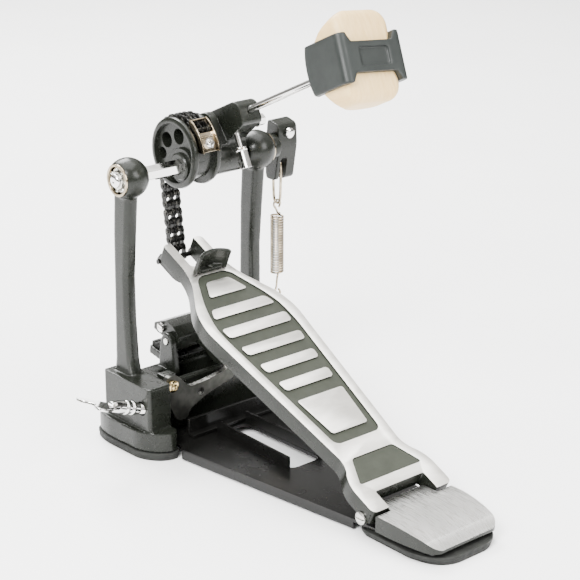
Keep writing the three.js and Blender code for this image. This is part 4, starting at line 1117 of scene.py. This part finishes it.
# %% Hub bolts
key_place = ACROSS_ROD @ at(27.5, 0, 19) @ Matrix.Rotation(rad(-90), 4, "X")
shank = lathe([(0, 0), (2, 0), (2, 16), (0, 16)], steps=24)
neck = lathe([(0, -1), (4.0, -1), (4.4, -0.4), (4.4, 1.2), (4.0, 1.6), (0, 1.6)], steps=32)
head = slab([(-3.1, -3.1), (3.1, -3.1), (3.1, 3.1), (-3.1, 3.1)], -13, 0, 0.5, 2)
piece(
    "key_bolt", gather(shank, neck, head), chrome, "axle", "hub_key_bolt", edge=0.4, steps=2,
    place=key_place
)
clamp_spot = ACROSS_ROD @ Vector((0, 16.6, 27))
clamp_place = Matrix.Translation((0, clamp_spot.y, clamp_spot.z)) @ TO_X
hex_head = bar(4.3, (0, 0, 41.4), (0, 0, 46.6), 6)
collar_ring = lathe([(0, 40.9), (4.6, 40.9), (4.6, 41.6), (0, 41.6)], steps=32)
piece(
    "clamp_bolt", gather(hex_head, collar_ring), chrome, "axle", "rod_clamp_bolt", edge=0.35,
    place=clamp_place
)

# %% [markdown]
# ## Beater
# A chromed rod, a head of pale maple and a grey strap moulded round it. The head is a rounded block with a
# domed inner side. The strap widens at its cheeks and has a shallow window in its outer face. Head and strap
# stand turned a few degrees about the rod.

# %% Rod and wooden head
ROLL_ON_ROD = Matrix.Rotation(rad(-5.5), 4, "Z")
HEAD_NEAR, HEAD_FAR, STRAP = 131.0, 163.0, 4.0


def head_block(grow, soft, corner):
    """The head's block: a rounded outline across the rod, pushed along it, with its end edges rounded."""
    x, low, high = 22 + grow, -27.5 - grow, 31.5 + grow
    near, far = HEAD_NEAR - grow, HEAD_FAR + grow
    block = slab([(-x, low), (x, low), (x, high), (-x, high)], near, far, corner, 9)
    block.normal_update()
    ends = [edge for edge in block.edges if abs(edge.verts[0].co.z - edge.verts[1].co.z) < 0.01]
    round_off(block, ends, soft, 6)
    dome = [(0, near), (13 + grow, near + 0.5), (21 + grow, near + 2.8), (27 + grow, near + 7)]
    dome += [(31 + grow, near + 14), (33.5 + grow, near + 23), (33.5 + grow, far + 1), (0, far + 1)]
    return common(block, lathe(dome, steps=96, soften=2))


rod = lathe([(0, -14), (2.1, -14), (2.5, -13.4), (2.5, HEAD_NEAR - 1.6), (0, HEAD_NEAR - 1.6)], steps=36)
piece("rod", rod, chrome, "beater", "beater_rod", edge=0, limit=30, place=ROD)
wood = head_block(0, 6, 11)
piece("maple_head", wood, maple, "beater", "beater_head_wood", edge=0, limit=60, place=ROD @ ROLL_ON_ROD)

# %% [markdown]
# The strap is the same block grown by the plastic's thickness, cut to a band with wide cheeks. Its edges are
# cast soft first, then the room for the wood is cut, so that the seat stays exact.

# %% Strap
shell = head_block(STRAP, 5, 13)
band = block(-40, 40, -10, 10, HEAD_NEAR - 10, HEAD_FAR + 10)
flare = [(16.5, -10), (20, -16), (40, -16), (40, 16), (20, 16), (16.5, 10)]
flares = [slab([(x * side, y) for x, y in flare], 120, 175) for side in (-1, 1)]
boss = lathe([(0, 119.2), (5.4, 119.2), (6.5, 120.4), (6.5, 129), (0, 129)], steps=48)
room_for_wood = head_block(0.12, 6, 11)
window = slab([(-11, -6), (13, -6), (13, 6), (-11, 6)], HEAD_FAR + STRAP - 2.0, HEAD_FAR + 9, 2, 4)
strap = cast(cut(fuse(common(shell, fuse(band, *flares)), boss), window), 0.6, 6)
strap = cut(strap, room_for_wood, bar(2.8, (0, 0, 110), (0, 0, 130.8), 32))
piece(
    "strap", strap, grey_plastic, "beater", "beater_head_strap", edge=0, limit=45,
    place=ROD @ ROLL_ON_ROD
)

# %% [markdown]
# ## Spring side
# Outside the right post a black rocker is clamped on the axle. A wire link hangs in its slot, then come the
# upper hook, the coil, the lower hook and an eye bolt in a small arm.

# %% Rocker
washer_section = [(4.3, FACE_X + 0.8), (4.3, 71), (9, 71), (9, FACE_X + 0.8)]
washer = lathe(washer_section, axle_line, steps=64, soften=0.5, closed=True)
piece("washer", washer, charcoal, "axle", "rocker_washer", edge=0, limit=40)
ROCKER = [(217.5, 205), (229.5, 208), (232, 185), (231.5, 164), (221, 164), (216.5, 190)]
rocker = cast(slab(ROCKER, 72, 89, 3, 5, TO_X), 0.55, 3)
rocker = cut(
    rocker,
    bar(4.3, (60, SHAFT_Y, SHAFT_Z), (100, SHAFT_Y, SHAFT_Z), 40),
    slab([(75, 150), (81, 150), (81, 181), (75, 181)], -240, -200, [0, 0, 2.9, 2.9], 6, TO_Y),
    bar(1.9, (73, 226, 173), (86, 226, 173), 24),
    bar(2.7, (80.5, 210, 199), (80.5, 222, 199), 24),
)
piece("rocker", rocker, charcoal, "axle", "spring_rocker", edge=0, limit=45)
piece(
    "rocker_head", screw(3.6, 2.6, dome=1.0, slot_width=0.9, shank=2.2, length=5), chrome, "axle",
    "rocker_screw", edge=0.12, place=at(80.5, 216.0, 199) @ Matrix.Rotation(rad(25), 4, "Y") @ TO_Y
)
piece(
    "rocker_cross_pin", bar(1.6, (73.3, 226, 173), (85.6, 226, 173), 24), steel, "axle", "rocker_pin",
    edge=0.2
)

# %% [markdown]
# The coil is a circle spun many times round with a small rise at each step, which is how a helix is made.
# The coil itself rides on no body, and its place is baked into its mesh.


# %% Return spring
def helix(coil_r, wire_r, low, high, turns, x, y, sides=8, per_turn=20):
    """A helical wire. spin raises the section a little at every step."""
    bm = bmesh.new()
    place = at(coil_r, 0, 0) @ Matrix.Rotation(rad(90), 4, "X")
    bmesh.ops.create_circle(bm, cap_ends=False, segments=sides, radius=wire_r, matrix=place)
    steps = round(turns * per_turn)
    rise = (high - low - 2 * wire_r) / steps
    bmesh.ops.spin(
        bm,
        geom=bm.verts[:] + bm.edges[:],
        cent=(0, 0, 0),
        axis=(0, 0, 1),
        dvec=(0, 0, rise),
        angle=2 * math.pi * turns,
        steps=steps,
        use_merge=False,
    )
    bmesh.ops.holes_fill(bm, edges=[edge for edge in bm.edges if edge.is_boundary], sides=0)
    bmesh.ops.recalc_face_normals(bm, faces=bm.faces[:])
    bm.transform(at(x, y, low + wire_r))
    return bm


spring_low, spring_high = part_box("return_spring")
COIL_X, COIL_Y = (spring_low.x + spring_high.x) / 2 / MM, (spring_low.y + spring_high.y) / 2 / MM
COIL_LOW, COIL_HIGH = spring_low.z / MM, spring_high.z / MM
coil = piece(
    "spring_coil", helix(4.3, 0.76, COIL_LOW, COIL_HIGH, 22.5, COIL_X, COIL_Y), nickel, None,
    "return_spring", edge=0, limit=60
)
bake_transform(coil)

# %% [markdown]
# Each hook is one wire: an open ring that leads into a straight shank and then into the coil.


# %% Hooks, link and eye bolt
def hook(centre, towards, radius):
    """Points of a hook: an open ring at a height, a shank towards the coil and a last bend into its wire."""
    turn = 1 if towards < centre else -1
    points = []
    for k in range(12):
        angle = rad(-62 + 300 * k / 11)
        points.append((COIL_X + radius * math.cos(angle), COIL_Y, centre + turn * radius * math.sin(angle)))
    points.append((COIL_X - 0.4, COIL_Y, centre - turn * (radius + 1.4)))
    points.append((COIL_X, COIL_Y, towards + turn * 1.8))
    points.append((COIL_X + 1.6, COIL_Y + 0.5, towards - turn * 0.1))
    points.append((COIL_X + 4.0, COIL_Y + 1.6, towards - turn * 0.6))
    return points


piece(
    "upper_hook", wire(hook(COIL_HIGH + 8, COIL_HIGH + 0.3, 3.1), 0.75), nickel, "spring_head",
    "spring_upper_hook", edge=0, limit=60
)
piece(
    "lower_hook", wire(hook(COIL_LOW - 15, COIL_LOW - 0.3, 3.1), 0.75), nickel, "spring_foot",
    "spring_lower_hook", edge=0, limit=60
)
link_top, link_low, link_half = 178.4, COIL_HIGH + 8.6, 4.0
loop = [
    (COIL_X, COIL_Y + link_half * a, z)
    for a, z in (
        (0.55, link_top),
        (-0.55, link_top),
        (-1.05, link_top - 3),
        (-1.0, (link_top + link_low) / 2),
        (-0.9, link_low + 3.5),
        (-0.5, link_low),
        (0.5, link_low),
        (0.9, link_low + 3.5),
        (1.0, (link_top + link_low) / 2),
        (1.05, link_top - 3),
    )
]
piece("link_wire", wire(loop, 1.0, closed=True), nickel, "spring_head", "spring_link", edge=0, limit=60)


def threaded(radius, low, high, pitch=0.9):
    """A threaded bar: a lathe profile of small ridges."""
    profile = [(0, low), (radius - 0.3, low)]
    height = low + 0.2
    while height < high - pitch:
        profile += [(radius, height + pitch * 0.35), (radius - 0.3, height + pitch * 0.85)]
        height += pitch
    return lathe([*profile, (radius - 0.3, high), (0, high)], steps=28)


eye_z = 72.8
eye_turns = [2 * math.pi * k / 12 for k in range(12)]
eye_line = [(COIL_X, COIL_Y + 3.7 * math.cos(turn), eye_z + 3.7 * math.sin(turn)) for turn in eye_turns]
eye = wire(eye_line, 1.1, closed=True)
stud = threaded(2, 46, 69.6)
stud.transform(at(COIL_X, COIL_Y, 0))
piece("eye_bolt", gather(eye, stud), chrome, "frame", "spring_eye_bolt", edge=0, limit=50)
nut = bar(4.6, (COIL_X, COIL_Y, 60.4), (COIL_X, COIL_Y, 63.6), 6)
piece("tension_nut", nut, chrome, "frame", "eye_bolt_nut", edge=0.5, steps=2)
ARM = [(58, 214), (58, 236), (80, 233), (85, 226), (80, 219)]
arm = cast(slab(ARM, 51.6, 60, [0.5, 0.5, 4, 4, 4], 5), 0.55, 3)
arm = cut(arm, bar(3.3, (COIL_X, COIL_Y, 40), (COIL_X, COIL_Y, 70), 32))
piece("anchor_arm", arm, charcoal, "frame", "spring_anchor_arm", edge=0, limit=45)

# %% [markdown]
# ## Hoop clamp
# Between the posts a cast bridge carries the fixed jaw. The wing bolt pushes a bell-crank lever, the lever
# lifts the tail of the upper jaw, and its nose closes on the drum hoop.

# %% Clamp bridge and cross bar
JAW_HALF = 17.0
EAR_EDGE = [(218, 40), (222, 66), (226, 70), (231, 70), (235, 64), (238, 40)]
beam = block(-44.5, 44.5, 206, 240, PLATE_HIGH + 0.3, 44)
well = slab([(-30, 212), (30, 212), (30, 228), (-30, 228)], 18, 50, 2.5, 4)
lip = slab([(-19, 1), (19, 1), (19, 22), (-19, 22)], -20.3, -14.5, 1.5, 3, JAW)
neck = block(-19, 19, 229, 240, 38, 50)
ears = [slab(EAR_EDGE, *sorted((s * (JAW_HALF + 0.3), s * (JAW_HALF + 5))), 3, 4, TO_X) for s in (-1, 1)]
lever_x, lever_z = pivot("lever_swing").x, pivot("lever_swing").z
boss = bar(5, (lever_x + 4, 202, lever_z), (lever_x + 4, 208, lever_z), 32)
root = block(-44.5, -34, 202, 210, 36, 52)
bridge = cast(fuse(cut(beam, well), lip, neck, *ears, boss, root), 0.7, 4)
bridge = cut(
    bridge,
    bar(2.3, (lever_x, 190, lever_z), (lever_x, 208.4, lever_z), 24),
    bar(2.8, (-40, 228, 64), (40, 228, 64), 32),
    slab([(-25, 214.5), (-6, 214.5), (-6, 225.5), (-25, 225.5)], 14.5, 30, 1, 3),
    slab([(6, 214.5), (25, 214.5), (25, 225.5), (6, 225.5)], 14.5, 30, 1, 3),
)
piece("bridge", bridge, charcoal, "frame", "clamp_bridge", edge=0, limit=45)
upstand = block(-33, 46, 189.2, 191.5, PLATE_HIGH + 0.3, 21)
angle_bar = gather(upstand, block(-33, 46, 184, 190, PLATE_HIGH + 0.3, 10.8))
piece("angle_bar", angle_bar, black, "frame", "cross_bar", edge=0.5, steps=3)

# %% [markdown]
# The upper jaw is faceted like the real one, so it gets wide flat chamfers in its outline and only a small
# edge radius. Both jaws grip through rubber.

# %% Jaws
NOSE = [(-7, -5.4), (-7, 5), (0, 10), (9, 11), (21, 4), (21, -1.1), (6, -1.1), (4, -5.4)]
TAIL = [(194, 51), (194, 56), (214, 66), (226, 70), (226, 60), (214, 56), (203, 50)]
nose = slab(NOSE, -JAW_HALF, JAW_HALF, 0.8, 2, JAW @ TO_X)
tail = slab(TAIL, 1, 15, 0.6, 2, TO_X)
jaw = cut(
    fuse(nose, tail),
    bar(2.8, (-40, 228, 64), (40, 228, 64), 32),
    again(bar(2.1, (-18, 12, 4.4), (-11, 12, 4.4)), JAW),
)
piece("jaw_casting", jaw, charcoal, "jaw", "upper_jaw", edge=0.8, steps=3)
grooves = [block(-14.6, 14.6, y, y + 1.0, -4, -2.9) for y in (8, 11, 14, 17)]
piece(
    "jaw_rubber", cut(block(-15, 15, 6, 20, -3.4, -1.4), *grooves), rubber, "jaw", "upper_jaw_pad",
    edge=0.3, place=JAW
)
grooves = [block(-18, 18, y, y + 1.2, -11.7, -10) for y in (7.5, 11, 14.5, 18)]
piece(
    "hoop_rubber", cut(block(-17, 17, 5, 21.5, -14.2, -11.2), *grooves), rubber, "frame", "lower_jaw_pad",
    edge=0.4, place=JAW
)
piece("jaw_pin", bar(2.4, (-23, 228, 64), (23, 228, 64), 32), steel, "frame", "jaw_pivot_pin", edge=0.5)
jaw_screw_place = JAW @ at(-JAW_HALF - 0.3, 12, 4.4) @ Matrix.Rotation(math.pi, 4, "Z") @ TO_X
piece(
    "jaw_head", screw(3.5, 2.4, dome=0.9, slot_width=0.9, shank=1.8, length=5), chrome, "jaw",
    "jaw_screw", edge=0.12, place=jaw_screw_place
)

# %% [markdown]
# ## Lever and wing bolt
# The lever is cut from thick plate. The wing bolt is turned, ringed and forged out into a wing, which lies
# nearly flat when the clamp is closed.

# %% Lever
LEVER_EDGE = [(-46.6, 49), (-44, 53), (-36, 52), (-26, 41), (-10, 42), (14, 46.5), (14, 38), (-12, 31)]
LEVER_EDGE += [(-26, 24), (-28, 18), (-36, 18), (-40, 24), (-42.6, 30), (-46, 40)]
lever_y = pivot("lever_swing").y
lever = cut(
    slab(LEVER_EDGE, -lever_y - 2, -lever_y + 2, 3, 5, TO_Y),
    bar(2.3, (lever_x, 190, lever_z), (lever_x, 210, lever_z), 24),
    bar(2.6, (-16, 190, 35), (-16, 210, 35), 32),
)
for face in lever.faces:
    face.material_index = 1 if face.normal.z > 0.6 and face.calc_center_median().x > -27 else 0
piece("bell_crank", lever, [lever_steel, steel], "lever", "clamp_lever", edge=0.7, steps=3)
pivot_head = screw(4.2, 3.2, dome=0.9, dimple=1.7, shank=2, length=8)
piece(
    "pivot_head", pivot_head, brass, "frame", "lever_pivot_screw", edge=0, limit=40,
    place=at(lever_x, lever_y - 2.4, lever_z) @ TO_Y
)
tiny = helix(2.2, 0.42, 46.6, 49.2, 2.0, 8, lever_y, 6, 16)
piece("tiny_spring", tiny, steel, "lever", "lever_spring", edge=0, limit=60)

# %% [markdown]
# The wing bolt is one turned barrel with two rings. The wing is a flat plate fused onto its end, and the
# whole is cast so that the two flow together like a forging.

# %% Wing bolt
tip = lathe([(0, 0), (2.4, 0), (3.2, 0.8), (3.2, 3), (0, 3)], BOLT, steps=32)
piece("bolt_tip", tip, steel, "screw_tip", "clamp_tip", edge=0, limit=30)
barrel = [(0, 25.5), (3.8, 25.5), (4.3, 26.1), (4.3, 30.8), (4.9, 31.1), (4.9, 32.3)]
barrel += [(4.3, 32.6), (4.3, 35.8), (4.9, 36.1), (4.9, 37.3), (4.3, 37.6)]
barrel += [(4.3, 43), (3.9, 47), (3.0, 50), (0, 50)]
barrel = lathe(barrel, steps=48)
wing_half = [(42, 0), (42, 3.2), (50, 6), (56, 11.5), (63, 14.6), (69.5, 13.6), (69, 7), (64, 2.2), (64, 0)]
WING = [*wing_half, *[(a, -b) for a, b in reversed(wing_half[1:-1])]]
turn = rad(92)
WING_PLACE = Matrix(
    (
        (0, math.sin(turn), math.cos(turn), 0),
        (0, -math.cos(turn), math.sin(turn), 0),
        (1, 0, 0, 0),
        (0, 0, 0, 1),
    )
)
wing = slab(WING, -1.1, 1.1, 2, 4, WING_PLACE)
bmesh.ops.recalc_face_normals(wing, faces=wing.faces[:])
forged = cast(fuse(barrel, wing), 0.4, 3)
piece(
    "wing_bolt_piece", gather(forged, threaded(3.6, 3.4, 27)), chrome, "wing_bolt", "clamp_screw", edge=0,
    limit=50, place=BOLT
)

# %% [markdown]
# ## The floor
# A large pale sheet, which is not part of the pedal.

# %% Floor
floor_bm = bmesh.new()
bmesh.ops.create_grid(floor_bm, x_segments=1, y_segments=1, size=6)
floor_mesh = bpy.data.meshes.new("floor")
floor_bm.to_mesh(floor_mesh)
floor_bm.free()
floor = bpy.data.objects.new("floor", floor_mesh)
bpy.context.scene.collection.objects.link(floor)
pale = finish("floor_white", (0.93, 0.93, 0.93), 0.7)
tone = grain(pale, 6, 2)
vary_color(pale, tone, (0.92, 0.92, 0.92), (0.94, 0.94, 0.94))
floor_mesh.materials.append(pale)
floor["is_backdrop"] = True

# %% [markdown]
# ## The size
# The box round every object that renders, the floor aside, is printed at the end.

# %% Size and finish
low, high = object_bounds()
print("visual box", [round(v, 4) for v in (*low, *high)])
